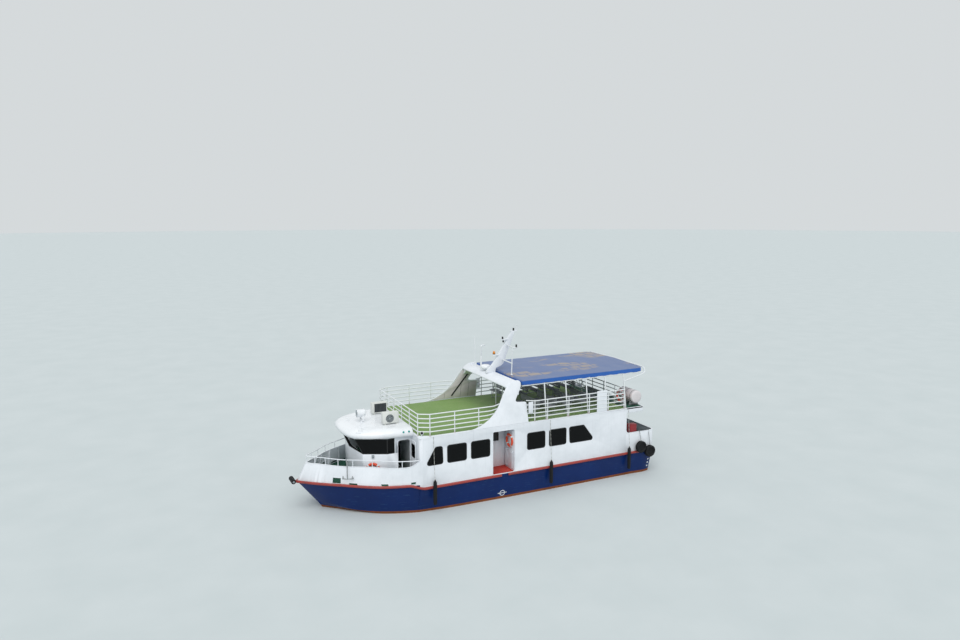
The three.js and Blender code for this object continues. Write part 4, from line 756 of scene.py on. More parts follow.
# Saloon windows: safety glass held in black rubber section round each opening. It is near-black and nearly opaque:
# painted shade of the unlit cabin behind it.
glass, tree, at = new_finish("near_black_glass_painted_cabin_shade", Transmission_Weight=0.25, IOR=1.45, Specular_IOR_Level=0.12)
salt = node(tree, "TexNoise", {"Vector": at, "Scale": per(240), "Detail": 6.0, "Roughness": 0.6})
node(tree, "Mix", {0: salt, 6: "#020304", 7: "#06080a"}, to="Base Color", data_type="RGBA")
node(tree, "MapRange", {"Value": salt, "From Min": 0.4, "From Max": 0.8, "To Min": 0.02, "To Max": 0.12},
     to="Roughness")
gasket = mottled("black_rubber_glazing_section", (90, 5.0, 0.5), ("#0b0c0d", "#1d1f21"), (0.42, 0.62),
                 (90, 5.0, 0.0008, 1.0))
for name, side in SIDES:
    bm = bmesh.new()
    for corners in openings:
        framed(bm, corners, (0.022, ROUND + 0.02), (-0.018, ROUND - 0.02), "y", side * 3.128, side * 3.157)
    piece("window_rubbers_" + name, bm, gasket, "cabin_side_" + name, bevel=0.006, angle=50)
    for part, row in (("fore", openings[:3]), ("aft", openings[3:])):
        bm = bmesh.new()
        for corners in row:
            plate(bm, rounded(widened(corners, -0.004), ROUND), "y", side * 3.13, side * 3.142)
        piece(f"window_panes_{part}_{name}", bm, glass, f"cabin_glass_{part}_{name}")

# Saloon front and its rounded corners: plate bent to the sides, with an opening into the wheelhouse.
ON_MAIN_DECK = 1.3403
bm = bmesh.new()
pierced(bm, [(-2.9, ON_MAIN_DECK), (2.9, ON_MAIN_DECK), (2.9, 3.769), (-2.9, 3.769)], [rounded(
    [(-0.4, 1.56), (0.4, 1.56), (0.4, 3.56), (-0.4, 3.56)], 0.08)], "x", 3.99, 4.05)
for side in (1, -1):
    bend, inner = [[(3.89 + r * math.sin(k * math.pi / 20), side * (2.99 + r * math.cos(k * math.pi / 20)))
                    for k in range(11)] for r in (0.16, 0.1)]
    plate(bm, bend + [(4.05, side * 2.9), (3.99, side * 2.9)] + inner[::-1], "z", 1.302, 3.769)
piece("saloon_front", bm, white, "cabin_front", bevel=0.003, angle=60, segments=1)


# Aft bulkhead of the saloon: plate with two windows and a doorway, and the hinge pins of the aft door on brackets.
def hinge_pins(bm, x, y, heights, lug_x, lug_y):
    """Pins that a door lifts off, each on a collar on a lug from the jamb."""
    for z in heights:
        turned(bm, [(0.0, -0.06), (0.009, -0.06), (0.009, 0.045), (0.0, 0.045)], (x, y, z), steps=16)
        turned(bm, [(0.0, -0.08), (0.018, -0.08), (0.018, -0.05), (0.0, -0.05)], (x, y, z), steps=20)
        slab(bm, lug_x, lug_y, (z - 0.08, z - 0.05))


AFT_HINGE = {"x": -8.145, "y": 0.4, "heights": (1.65, 2.38, 3.11)}
aft_windows = [[(side * 1.0, 2.45), (side * 1.9, 2.45), (side * 1.9, 3.25), (side * 1.0, 3.25)] for side in (1, -1)]
bm = bmesh.new()
pierced(bm, [(-3.089, ON_MAIN_DECK), (3.089, ON_MAIN_DECK), (3.089, 3.769), (-3.089, 3.769)],
        [rounded(w, 0.09) for w in aft_windows]
        + [rounded([(-0.35, 1.45), (0.35, 1.45), (0.35, 3.31), (-0.35, 3.31)], 0.06)], "x", -8.1, -8.04)
hinge_pins(bm, **AFT_HINGE, lug_x=(-8.145, -8.08), lug_y=(0.386, 0.414))
piece("aft_bulkhead", bm, white, "cabin_aft", bevel=0.003, angle=50, segments=1)
bm = bmesh.new()
for corners in aft_windows:
    framed(bm, corners, (0.022, ROUND), (-0.018, 0.07), "x", -8.108, -8.08)
piece("aft_window_rubbers", bm, gasket, "cabin_aft", bevel=0.005, angle=50)
bm = bmesh.new()
for corners in aft_windows:
    plate(bm, rounded(widened(corners, -0.004), 0.08), "x", -8.098, -8.086)
piece("aft_window_panes", bm, glass, "cabin_aft")


# Aft door: a flush plate door on three lift-off hinges, with a window and a lever handle.
def hinge_knuckles(bm, x, y, heights, lug_x, lug_y):
    """Barrels that turn on a door's pins, each with its lug from the leaf."""
    for z in heights:
        turned(bm, [(0.01, -0.0495), (0.018, -0.0495), (0.018, 0.05), (0.01, 0.05), (0.01, -0.0495)], (x, y, z),
               steps=20)
        slab(bm, lug_x, lug_y, (z - 0.0495, z + 0.05))


AFT_LEAF = [(-0.38, 1.42), (0.38, 1.42), (0.38, 3.34), (-0.38, 3.34)]
AFT_LIGHT = [(-0.25, 2.45), (0.21, 2.45), (0.21, 3.15), (-0.25, 3.15)]
bm = bmesh.new()
pierced(bm, rounded(AFT_LEAF, 0.05), [rounded(AFT_LIGHT, 0.06)], "x", -8.165, -8.125)
hinge_knuckles(bm, **AFT_HINGE, lug_x=(-8.153, -8.137), lug_y=(0.37, 0.395))
pipes(bm, [[(-8.165, -0.31, 2.3), (-8.2, -0.31, 2.3), (-8.2, -0.2, 2.3)]], 0.009, corner=0.015)
turned(bm, [(0.0, 0.0), (0.028, 0.0), (0.028, 0.006), (0.0, 0.008)], (-8.165, -0.31, 2.3),
       axis=(-1, 0, 0), steps=20)
piece("aft_door_leaf", bm, white, "aft_door", body="aft_door", bevel=0.003, angle=50, segments=1)
bm = bmesh.new()
plate(bm, rounded(widened(AFT_LIGHT, -0.003), 0.06), "x", -8.15, -8.14)
piece("aft_door_pane", bm, glass, "aft_door", body="aft_door")
bm = bmesh.new()
framed(bm, AFT_LIGHT, (0.02, 0.08), (-0.012, 0.05), "x", -8.171, -8.155)
piece("aft_door_rubber", bm, gasket, "aft_door", body="aft_door", bevel=0.004, angle=50)


# Boarding recesses: a plated lobby in each side with a doorway forward into the saloon, a floor painted red, and
# a lifebuoy on its aft wall.
def lifebuoy(name, at, stands_for, hang=None):
    """A 740 mm lifebuoy that faces along x: foam ring in orange skin, four white bands, and a grab line looped
    between them. The name has a gap for the part, and `hang` is a matrix that turns and places it."""
    at = Vector(at)
    cover, bands, line = bmesh.new(), bmesh.new(), bmesh.new()
    upright = Matrix.Rotation(math.pi / 2, 4, "Y")
    turned(cover, [(0.3 + 0.062 * math.cos(a), 0.053 * math.sin(a)) for a in around(20)], at, axis="x", steps=48)
    for k in range(4):
        start = math.pi / 4 + k * math.pi / 2
        rings = []
        for step in range(7):
            a = start - 0.13 + 0.26 * step / 6
            rings.append([tuple(at + upright @ Vector(((0.3 + 0.0645 * math.cos(b)) * math.cos(a),
                                                       (0.3 + 0.0645 * math.cos(b)) * math.sin(a),
                                                       0.0555 * math.sin(b)))) for b in around(20)[:-1]])
        skin(bands, rings)
        loop = []
        for step in range(11):
            a = start + 0.13 + (math.pi / 2 - 0.26) * step / 10
            r = 0.366 + 0.03 * math.sin(math.pi * step / 10)
            loop.append(tuple(at + upright @ Vector((r * math.cos(a), r * math.sin(a), 0.0))))
        pipes(line, [loop], 0.005, smooth=1)
    for part, bm, finish, slot in (("", cover, orange, "buoy_orange"), ("_bands", bands, band, "white_paint"),
                                   ("_line", line, rope, "white_paint")):
        if hang:
            bmesh.ops.transform(bm, matrix=hang, verts=bm.verts)
        piece(name.format(part), bm, finish, stands_for)


orange = mottled("orange_lifebuoy_skin", (120, 5.0, 0.5), ("#d93a1c", "#ef6337"), (0.38, 0.6), (10, 2.0, 0.0008, 1.0),
                 Coat_Weight=0.1)
band, tree, at = new_finish("white_retroreflective_tape", Roughness=0.35)
beads = node(tree, "TexVoronoi", {"Vector": at, "Scale": per(8)})
node(tree, "Mix", {0: beads, 6: "#e9ecee", 7: "#c6cbcf"}, to="Base Color", data_type="RGBA")
node(tree, "Bump", {"Height": beads, "Distance": 0.0006}, to="Normal")
red_floor = deck_paint("red_non_slip_deck_paint", "#a8281f", "#c24a3a")

for name, side in SIDES:
    bm = bmesh.new()
    y0, y1 = sorted((side * 2.02, side * 3.089))
    slab(bm, (-1.14, 0.16), (side * 2.02, side * 2.06), (ON_MAIN_DECK, 3.63))
    slab(bm, (-1.14, -1.1), (y0, y1), (ON_MAIN_DECK, 3.63))
    slab(bm, (-1.14, 0.16), (y0, y1), (3.59, 3.63))
    slab(bm, (-1.14, 0.16), (y0, y1), (ON_MAIN_DECK, 1.376))
    door = [(side * 2.18, 1.42), (side * 2.86, 1.42), (side * 2.86, 3.33), (side * 2.18, 3.33)]
    pierced(bm, [(y0, ON_MAIN_DECK), (y1, ON_MAIN_DECK), (y1, 3.63), (y0, 3.63)], [rounded(door, 0.06)], "x", 0.12,
            0.16)
    # A grab rail and a pair of pipes run up the aft wall, and a conduit along the back.
    for y in (2.3, 2.42, 2.98):
        pipes(bm, [[(-1.1, side * y, 1.5), (-1.06, side * y, 1.5), (-1.06, side * y, 2.38), (-1.1, side * y, 2.38)]],
              0.014, corner=0.03)
    pipes(bm, [[(-1.06, side * 2.3, 2.3), (-1.06, side * 2.98, 2.3)]], 0.011)
    pipes(bm, [[(-0.54, side * 2.068, 2.82), (-0.54, side * 2.068, 2.2), (-0.72, side * 2.068, 2.05),
                (-0.72, side * 2.068, 1.4)]], 0.008, corner=0.05)
    piece("lobby_" + name, bm, white, "entrance_" + name, bevel=0.003, angle=50, segments=1)
    bm = bmesh.new()
    slab(bm, (-1.098, 0.118), (side * 2.062, side * 3.149), (1.375, 1.3815))
    piece("lobby_floor_" + name, bm, red_floor, "entrance_" + name)
    bm = bmesh.new()
    slab(bm, (-0.68, -0.4), (side * 2.061, side * 2.21), (2.8, 3.22))
    for z in (2.86, 2.94, 3.02, 3.1, 3.18):
        slab(bm, (-0.65, -0.43), (side * 2.205, side * 2.216), (z - 0.022, z + 0.014))
    piece("lobby_speaker_" + name, bm, gasket, "entrance_" + name, bevel=0.008, angle=50)
    lifebuoy("lobby_lifebuoy{}_" + name, (-1.046, side * 2.7, 2.9), "entrance_" + name)

# Saloon seats: rows of four moulded blue shells bolted to a steel beam, on pedestals along a floor rail.
shell_blue = mottled("moulded_blue_polypropylene", (70, 6.0, 0.7), ("#1b4686", "#2a5c9e"), (0.38, 0.6),
                     (5, 2.0, 0.0004, 1.0), Coat_Weight=0.05)
shell_side = [(0.215, 1.735), (0.22, 1.765), (0.19, 1.785), (0.05, 1.765), (-0.1, 1.76), (-0.165, 1.8), (-0.2, 1.95),
              (-0.225, 2.2), (-0.235, 2.325), (-0.248, 2.325), (-0.245, 2.2), (-0.222, 1.94), (-0.19, 1.765),
              (-0.12, 1.735), (0.05, 1.74), (0.18, 1.757)]
for name, side in SIDES:
    shells, stands = bmesh.new(), bmesh.new()
    for x in (2.9, 1.9, 0.9, -2.0, -3.0, -4.0, -5.0, -6.0, -7.0):
        for seat in range(4):
            y = 0.66 + seat * 0.325
            rings = []
            for across, lift in ((0.0, 0.025), (0.03, 0.008), (0.1, 0.0), (0.15, -0.004), (0.2, 0.0), (0.27, 0.008),
                                 (0.3, 0.025)):
                rings.append([(x + px, side * (y + across), pz + (lift if px > -0.16 else 0.0))
                              for px, pz in shell_side])
            skin(shells, rings)
        slab(stands, (x - 0.03, x + 0.03), (side * 0.66, side * 1.94), (1.7, 1.74))
        pipes(stands, [[(x, side * 1.3, 1.36), (x, side * 1.3, 1.72)]], 0.035)
        turned(stands, [(0.0, 0.022), (0.09, 0.016), (0.1, 0.0)], (x, side * 1.3, 1.3405), steps=20)
    slab(stands, (-7.15, 3.05), (side * 1.25, side * 1.35), (ON_MAIN_DECK, 1.362))
    piece("seat_shells_" + name, shells, shell_blue, "cabin_seats_" + name, angle=45)
    piece("seat_stands_" + name, stands, grey_enamel, "cabin_seats_" + name, bevel=0.003,
          angle=50, segments=1)


# Wheelhouse: plate walls on the foredeck, upright below the windows. The front panes stand on the same corners and
# lean forward under the brow. White enamel outside, with the door pins on brackets at each aft jamb.
HOUSE_FOOT = [(4.0503, 2.05), (5.3, 2.07), (6.37, 1.55), (6.6, 0.0), (6.37, -1.55), (5.3, -2.07), (4.0503, -2.05)]
HOUSE_HEAD = [(4.0503, 2.05), (5.3, 2.07), (6.75, 1.3653), (6.9526, 0.0), (6.75, -1.3653), (5.3, -2.07),
              (4.0503, -2.05)]
ON_FOREDECK, BAND_LOW, BAND_HIGH, BROW = 1.5003, 2.9, 3.66, 3.7


def house_line(z, inside=0.0, begin=0.0):
    """The wheelhouse's plan at a height, some way inside its outer face, from a share of its side forward."""
    t = max(z - BAND_LOW, 0.0) / (BROW - BAND_LOW)
    line = [Vector(a).lerp(b, t) for a, b in zip(HOUSE_FOOT, HOUSE_HEAD)]
    line[0], line[-1] = line[0].lerp(line[1], begin), line[-1].lerp(line[-2], begin)
    out = []
    for i, here in enumerate(line):
        legs = [(b - a).normalized() for a, b in zip(line[max(i - 1, 0):i + 1], line[max(i, 1):i + 2])]
        legs = [leg for leg in legs if leg.length > 0.5] or [(line[i] - line[i - 1]).normalized()]
        normals = [Vector((leg.y, -leg.x)) for leg in legs]
        step = sum(normals, Vector((0.0, 0.0))) * (inside / (1 + normals[0].dot(normals[-1])))
        step = step if len(normals) == 2 else normals[0] * inside
        out.append((here.x + step.x, here.y + step.y, z))
    return out


def house_skin(bm, low, high, near, far, begin=0.0):
    """A band of the wheelhouse between two heights and two depths inside its outer face."""
    rows = [house_line(z, d, begin) for z, d in ((low, near), (high, near), (high, far), (low, far))]
    skin(bm, [list(ring) for ring in zip(*rows)])


DOORWAY = [(4.13, 1.62), (4.75, 1.62), (4.75, 3.5), (4.13, 3.5)]
HOUSE_HINGES = [{"x": 4.096, "y": side * 2.09, "heights": (1.8, 2.56, 3.32)} for side in (1, -1)]


def doorways_cut(bm, tool):
    """Burns the two side doorways, and whatever else the tool has, out of the wheelhouse's plating."""
    for side in (1, -1):
        plate(tool, rounded(DOORWAY, 0.13), "y", side * 1.8, side * 2.3)
    cut_away(bm, tool)


bm, upper, tool = bmesh.new(), bmesh.new(), bmesh.new()
house_skin(bm, ON_FOREDECK, BAND_LOW, 0.0, 0.06)
doorways_cut(bm, bmesh.new())
house_skin(upper, BAND_LOW, 3.6997, 0.0, 0.06)
slab(tool, (4.93, 7.2), (-2.3, 2.3), (2.8, BAND_HIGH))
doorways_cut(upper, tool)
take_in(bm, upper)
for side, hinge in zip((1, -1), HOUSE_HINGES):
    framed(bm, DOORWAY, (0.03, 0.16), (0.0, 0.13), "y", side * 2.055, side * 2.068)
    hinge_pins(bm, **hinge, lug_x=(4.082, 4.11), lug_y=(side * 2.045, side * 2.09))
piece("wheelhouse_plating", bm, white, "wheelhouse_walls", bevel=0.006, angle=24)

# Windscreen: toughened panes bonded edge to edge behind black ceramic borders. The panes take the same near-black
# glass, painted shade of the unlit wheelhouse, so the band reads as one dark strip.
bm = bmesh.new()
house_skin(bm, 2.905, 3.675, 0.03, 0.042, begin=0.705)
piece("windscreen_panes", bm, glass, "wheelhouse_glass", angle=20)
bm = bmesh.new()
for low, high in ((BAND_LOW, 2.932), (3.628, BAND_HIGH)):
    house_skin(bm, low, high, 0.004, 0.052, begin=0.705)
foot, head = house_line(2.93), house_line(3.63)
foot_in, head_in = house_line(2.93, 0.048), house_line(3.63, 0.048)
for i in (1, 2, 3, 4, 5):
    for j in (i - 1, i + 1):
        rings = []
        for out_line, in_line in ((foot, foot_in), (head, head_in)):
            a, b = Vector(out_line[i]), Vector(out_line[j])
            c, d = Vector(in_line[i]), Vector(in_line[j])
            step, inner = (b - a).normalized() * 0.024, (d - c).normalized() * 0.024
            skin_in = (c - a) * 0.12
            rings.append([tuple(a + skin_in), tuple(a + step + skin_in), tuple(c + inner), tuple(c)])
        skin(bm, rings)
for side in (1, -1):
    y = side * 2.0641
    slab(bm, (4.93, 4.955), (y - side * 0.052, y - side * 0.003), (BAND_LOW, BAND_HIGH))
piece("windscreen_borders", bm, gasket, "wheelhouse_glass", angle=30)

# Wheelhouse doors: plate leaves hung on lift-off pins, stored open against the saloon front, each with a light.
LEAF = [(2.11, 1.595), (2.77, 1.595), (2.77, 3.525), (2.11, 3.525)]
LIGHT = [(2.24, 2.7), (2.66, 2.7), (2.66, 3.33), (2.24, 3.33)]
for (name, side), hinge in zip(SIDES, HOUSE_HINGES):
    body = "wheelhouse_door_" + name
    leaf, light = [[(side * y, z) for y, z in corners] for corners in (LEAF, LIGHT)]
    bm = bmesh.new()
    pierced(bm, rounded(leaf, 0.09), [rounded(light, 0.07)], "x", 4.078, 4.114)
    hinge_knuckles(bm, **hinge, lug_x=(4.088, 4.104), lug_y=(side * 2.095, side * 2.12))
    pipes(bm, [[(4.114, side * 2.7, 2.4), (4.15, side * 2.7, 2.4), (4.15, side * 2.6, 2.4)]], 0.009, corner=0.015)
    turned(bm, [(0.0, 0.0), (0.026, 0.0), (0.026, 0.005), (0.0, 0.007)], (4.114, side * 2.7, 2.4), axis="x", steps=20)
    piece(f"house_door_{name}", bm, white, body, body=body, bevel=0.004, angle=50)
    bm = bmesh.new()
    plate(bm, rounded(widened(light, -0.003), 0.07), "x", 4.091, 4.101)
    piece(f"house_door_pane_{name}", bm, glass, body, body=body)
    bm = bmesh.new()
    framed(bm, light, (0.018, 0.09), (-0.012, 0.06), "x", 4.073, 4.119)
    piece(f"house_door_rubber_{name}", bm, gasket, body, body=body, bevel=0.004, angle=50)

# Wheelhouse roof: moulded in glass-reinforced plastic, a smooth dome whose brow overhangs the windscreen, with the
# searchlight's yoke, foot rungs, a vent and two domed lamps bolted on. White gelcoat.

def roof_outline(*half):
    """The whole smooth outline from the port half's four points, from aft to the centreline."""
    whole = list(half) + [(x, -y) for x, y in half[-2::-1]]
    return [Vector(p) for p in fair(whole, 8)]


LOW = roof_outline((3.8, 2.29), (5.45, 2.09), (6.8, 1.38), (7.05, 0.0))
WIDE = roof_outline((3.8, 2.33), (5.48, 2.13), (6.85, 1.4), (7.1, 0.0))
TOP = roof_outline((3.8, 1.9), (5.25, 1.76), (6.25, 1.15), (6.45, 0.0))
LIP, SHOULDER, DOME = 3.7, 3.83, 0.29


def on_roof(share, rise):
    """A point on the roof's shoulder: a share of the way round from port aft, and 0 at the brow to 1 at the top."""
    spot = share * (len(WIDE) - 1)
    i = min(int(spot), len(WIDE) - 2)
    wide, top = WIDE[i].lerp(WIDE[i + 1], spot - i), TOP[i].lerp(TOP[i + 1], spot - i)
    turn = rise * math.pi / 2
    flat = wide.lerp(top, 1 - math.cos(turn))
    return Vector((flat.x, flat.y, SHOULDER + DOME * math.sin(turn)))


gelcoat = painted("white_gelcoat_moulding", "#e9ecf0", "#c4c9cd", rough=0.24, streaks=0.25, plate_wave=0.002)
bm = bmesh.new()
rings = [[(p.x, p.y, LIP) for p in [p - p.normalized() * 0.02 for p in LOW]], [(p.x, p.y, LIP + 0.012) for p in LOW],
         [(p.x, p.y, 3.77) for p in [a.lerp(b, 0.8) for a, b in zip(LOW, WIDE)]]]
for k in range(11):
    rings.append([tuple(on_roof(i / (len(WIDE) - 1), k / 10)) for i in range(len(WIDE))])
skin(bm, rings)
bmesh.ops.bisect_plane(bm, geom=list(bm.verts) + list(bm.edges) + list(bm.faces), dist=1e-5, plane_co=(4.052, 0, 0),
                       plane_no=(1, 0, 0), clear_inner=True)
bmesh.ops.holes_fill(bm, edges=[e for e in bm.edges if len(e.link_faces) == 1], sides=0)
piece("roof_moulding", bm, gelcoat, "wheelhouse_roof", bevel=0.012, angle=50, segments=3)

# Roof fittings: a yoke for the searchlight, three foot rungs, a swan-neck vent, and two domed lamps with ribbed
# teal lenses on the brow.
bm = bmesh.new()
LAMP = Vector((5.94, 0.12, 4.56))
turned(bm, [(0.0, 4.11), (0.09, 4.11), (0.09, 4.13), (0.05, 4.15), (0.045, 4.19), (0.0, 4.19)],
       (LAMP.x, LAMP.y, 0.0), steps=28)
slab(bm, (5.905, 5.975), (LAMP.y - 0.255, LAMP.y + 0.255), (4.19, 4.215))
for side in (1, -1):
    y = LAMP.y + side * 0.235
    plate(bm, rounded([(5.905, 4.2), (5.975, 4.2), (5.975, 4.6), (5.905, 4.6)], 0.03), "y", y - 0.008, y + 0.008)
    turned(bm, [(0.0, -0.02), (0.02, -0.02), (0.034, -0.012), (0.034, 0.012), (0.02, 0.03), (0.0, 0.03)],
           (LAMP.x, y + side * 0.012, LAMP.z), axis="y", steps=12)
for rise in (0.35, 0.58, 0.8):
    a, b = on_roof(0.288, rise), on_roof(0.312, rise)
    off = Vector((0.03, 0.05, 0.05))
    pipes(bm, [[a, a + off, b + off, b]], 0.009, corner=0.02)
vent = on_roof(0.53, 0.93)
pipes(bm, [[vent - Vector((0, 0, 0.02)), vent + Vector((0, 0, 0.14)), vent + Vector((0.1, -0.03, 0.2))]], 0.028,
      corner=0.09)
turned(bm, [(0.0, 0.0), (0.06, 0.0), (0.06, 0.012), (0.03, 0.02)], vent - Vector((0, 0, 0.006)), steps=24)
piece("roof_fittings", bm, gelcoat, "wheelhouse_roof", bevel=0.003, angle=50, segments=1)

lens = ridged("teal_lamp_lens", 55.3, "Z", ("#0d8a86", "#22b5ad"), 0.002, Roughness=0.12, Transmission_Weight=0.2,
              Coat_Weight=0.4)
bm, rims = bmesh.new(), bmesh.new()
off = Vector((0.05, 0.92, 0.38)).normalized()
for share in (0.072, 0.045):
    foot = on_roof(share, 0.27)
    turned(bm, [(0.052, 0.012), (0.048, 0.03), (0.034, 0.046), (0.016, 0.053), (0.0, 0.055)], foot, axis=off,
           steps=24)
    turned(rims, [(0.0, -0.02), (0.062, -0.02), (0.062, 0.008), (0.052, 0.014), (0.0, 0.014)], foot, axis=off,
           steps=24)
piece("brow_lamp_lenses", bm, lens, "wheelhouse_roof")
piece("brow_lamp_rims", rims, gelcoat, "wheelhouse_roof")

# Searchlight: a spun steel drum on trunnions, with a clear front glass in a bolted rim and a dished reflector.
bm = bmesh.new()
turned(bm, [(0.0, -0.2), (0.1, -0.195), (0.155, -0.17), (0.185, -0.12), (0.195, -0.06), (0.195, 0.235), (0.208, 0.24),
            (0.21, 0.252), (0.21, 0.27), (0.204, 0.275), (0.188, 0.275), (0.184, 0.262), (0.165, 0.16), (0.11, 0.08),
            (0.04, 0.05), (0.0, 0.048)], LAMP, axis="x", steps=48)
pipes(bm, [[(LAMP.x, LAMP.y + near, LAMP.z), (LAMP.x, LAMP.y + far, LAMP.z)]
           for near, far in ((-0.2207, -0.18), (0.18, 0.2207))], 0.02)
for k in range(5):
    slab(bm, (5.8 + k * 0.045, 5.815 + k * 0.045), (0.04, 0.2), (4.745, 4.762))
pipes(bm, [[(5.75, 0.06, 4.6), (5.66, 0.06, 4.62), (5.66, 0.18, 4.62), (5.75, 0.18, 4.6)]], 0.009, corner=0.02)
piece("searchlight_drum", bm, gelcoat, "searchlight", body="searchlight", bevel=0.002,
      angle=60, segments=1)
clear = mottled("clear_lamp_glass", (60, 5.0, 0.5), ("#dfe6ea", "#c3ccd2"), (0.03, 0.16), Transmission_Weight=0.85,
                IOR=1.5)
bm = bmesh.new()
turned(bm, [(0.0, 0.272), (0.08, 0.27), (0.15, 0.266), (0.186, 0.262), (0.186, 0.257), (0.0, 0.265)],
       LAMP, axis="x", steps=40)
piece("searchlight_glass", bm, clear, "searchlight", body="searchlight")

# Air-conditioning condensers: pressed and powder-coated cabinets on feet. The port one shows its fan behind a wire
# guard, and the starboard one its finned coil.
# Fins are 1.6 mm apart on the real coil, and are drawn 71 mm apart so that they show.
coil = ridged("dark_finned_coil", 71, "X", ("#1c1f22", "#4d5256"), 0.004, gloss=(0.7, 0.4), Metallic=0.4)
powder = painted("cream_powder_coat", "#d9dbd8", "#b3b5b0", rough=0.42, streaks=0.35, plate_wave=0.001)
for name, x, y, face in (("port", 4.81, 1.12, 1), ("starboard", 4.7, -0.95, -1)):
    bm, dark, guard = bmesh.new(), bmesh.new(), bmesh.new()
    slab(bm, (x - 0.405, x + 0.405), (y - 0.15, y + 0.15), (4.18, 4.72))
    slab(bm, (x - 0.405, x + 0.405), (y - 0.146, y + 0.146), (4.718, 4.724))
    for fx in (-0.3, 0.3):
        slab(bm, (x + fx - 0.03, x + fx + 0.03), (y - 0.19, y + 0.19), (4.1203, 4.14))
        slab(bm, (x + fx - 0.02, x + fx + 0.02), (y - 0.14, y + 0.14), (4.135, 4.19))
    fan = (x + face * 0.06, y + face * 0.15, 4.43)
    along = (0.0, float(face), 0.0)
    turned(bm, [(0.215, -0.002), (0.225, 0.006), (0.222, 0.014), (0.208, 0.014), (0.205, 0.002)], fan, axis=along,
           steps=40)
    turned(dark, [(0.0, 0.0012), (0.206, 0.0012), (0.206, 0.003), (0.0, 0.003)], fan, axis=along, steps=40)
    for r in (0.05, 0.071, 0.092, 0.113, 0.134, 0.155, 0.176, 0.197):
        turned(guard, [(r - 0.0055, 0.012), (r, 0.0085), (r + 0.0055, 0.012), (r, 0.0155), (r - 0.0055, 0.012)], fan,
               axis=along, steps=36)
    for k in range(8):
        a = k * math.pi / 4 + 0.2
        pipes(guard, [[(fan[0] + 0.02 * math.cos(a), fan[1] + face * 0.014, fan[2] + 0.02 * math.sin(a)),
                       (fan[0] + 0.21 * math.cos(a), fan[1] + face * 0.011, fan[2] + 0.21 * math.sin(a))]], 0.003,
              smooth=1)
    turned(guard, [(0.0, 0.018), (0.045, 0.018), (0.05, 0.008), (0.0, 0.004)], fan, axis=along, steps=24)
    slab(dark, (x - face * 0.28, x + face * 0.36), (y - face * 0.1495, y - face * 0.1525), (4.23, 4.68))
    piece("condenser_" + name, bm, powder, "ac_unit_" + name, bevel=0.012, angle=50)
    piece("condenser_coil_" + name, dark, coil, "ac_unit_" + name)
    piece("condenser_guard_" + name, guard, grey_enamel, "ac_unit_" + name)

# Lifebuoy of the wheelhouse, hung flat on the port front facet, and the small lamp box under the windscreen.
FACET = math.atan2(1.07, 0.52)
turned_to_facet = Matrix.Rotation(FACET, 4, "Z")
off_facet = Vector((math.cos(FACET), math.sin(FACET), 0.0)) * 0.0545
lifebuoy("house_lifebuoy{}", (0.0, 0.0, 0.0), "lifebuoy_wheelhouse",
         hang=Matrix.Translation(Vector((5.94, 1.759, 2.13)) + off_facet) @ turned_to_facet)
bm = bmesh.new()
slab(bm, (-0.05, 0.06), (-0.06, 0.06), (-0.07, 0.07))
turned(bm, [(0.0, 0.055), (0.03, 0.062), (0.034, 0.07), (0.0, 0.078)], (0.0, 0.0, 0.0), axis="x", steps=20)
bmesh.ops.transform(bm, verts=bm.verts, matrix=Matrix.Translation((5.93, 1.764, 2.8)) @ turned_to_facet)
piece("facet_lamp", bm, grey_enamel, "wheelhouse_walls", bevel=0.008, angle=50)

# Helm: a plate console with a sloping instrument panel, a spoked wheel on its column, and a pedestal chair.
bm = bmesh.new()
plate(bm, [(5.85, ON_FOREDECK), (6.3, ON_FOREDECK), (6.3, 2.65), (6.15, 2.78), (6.1, 2.78), (5.85, 2.6)], "y", -1.05,
      1.05)
pipes(bm, [[(5.86, 0.0, 2.45), (5.7, 0.0, 2.52)]], 0.035)
for y0 in (-0.85, -0.45, 0.25, 0.65):
    skin(bm, [[(5.875, y0, 2.625), (5.875, y0 + 0.26, 2.625), (5.868, y0 + 0.26, 2.632), (5.868, y0, 2.632)],
              [(6.075, y0, 2.768), (6.075, y0 + 0.26, 2.768), (6.068, y0 + 0.26, 2.776), (6.068, y0, 2.776)]])
slab(bm, (5.0, 5.9), (-0.06, 0.06), (ON_FOREDECK, 1.52))
turned(bm, [(0.0, 0.0), (0.26, 0.0), (0.26, 0.025), (0.08, 0.045), (0.055, 0.08), (0.055, 0.61), (0.0, 0.61)],
       (5.05, 0.0, ON_FOREDECK), steps=32)
piece("helm_console", bm, grey_enamel, "helm", bevel=0.008, angle=50)
bm = bmesh.new()
hub, tilt = Vector((5.71, 0.0, 2.518)), Vector((-1.0, 0.0, 0.255)).normalized()
across, rise = Vector((0, 1, 0)), tilt.cross(Vector((0, 1, 0)))
pipes(bm, [[hub + (across * math.cos(a) + rise * math.sin(a)) * 0.23 for a in around(40)]], 0.017)
for k in range(3):
    a = math.pi / 2 + k * math.tau / 3
    pipes(bm, [[hub, hub + (across * math.cos(a) + rise * math.sin(a)) * 0.225]], 0.012)
turned(bm, [(0.0, -0.03), (0.05, -0.025), (0.055, 0.0), (0.05, 0.02), (0.0, 0.028)], hub, axis=tuple(tilt), steps=24)
piece("helm_wheel", bm, gasket, "helm")
vinyl, tree, at = new_finish("black_leathercloth", Coat_Weight=0.05)
creases = node(tree, "TexVoronoi", {"Vector": at, "Scale": per(9)})
rubbed = node(tree, "TexNoise", {"Vector": at, "Scale": per(150), "Detail": 5.0})
node(tree, "Mix", {0: rubbed, 6: "#141518", 7: "#2c2e32"}, to="Base Color", data_type="RGBA")
node(tree, "MapRange", {"Value": rubbed, "To Min": 0.42, "To Max": 0.6}, to="Roughness")
node(tree, "Bump", {"Height": creases, "Distance": 0.0008}, to="Normal")


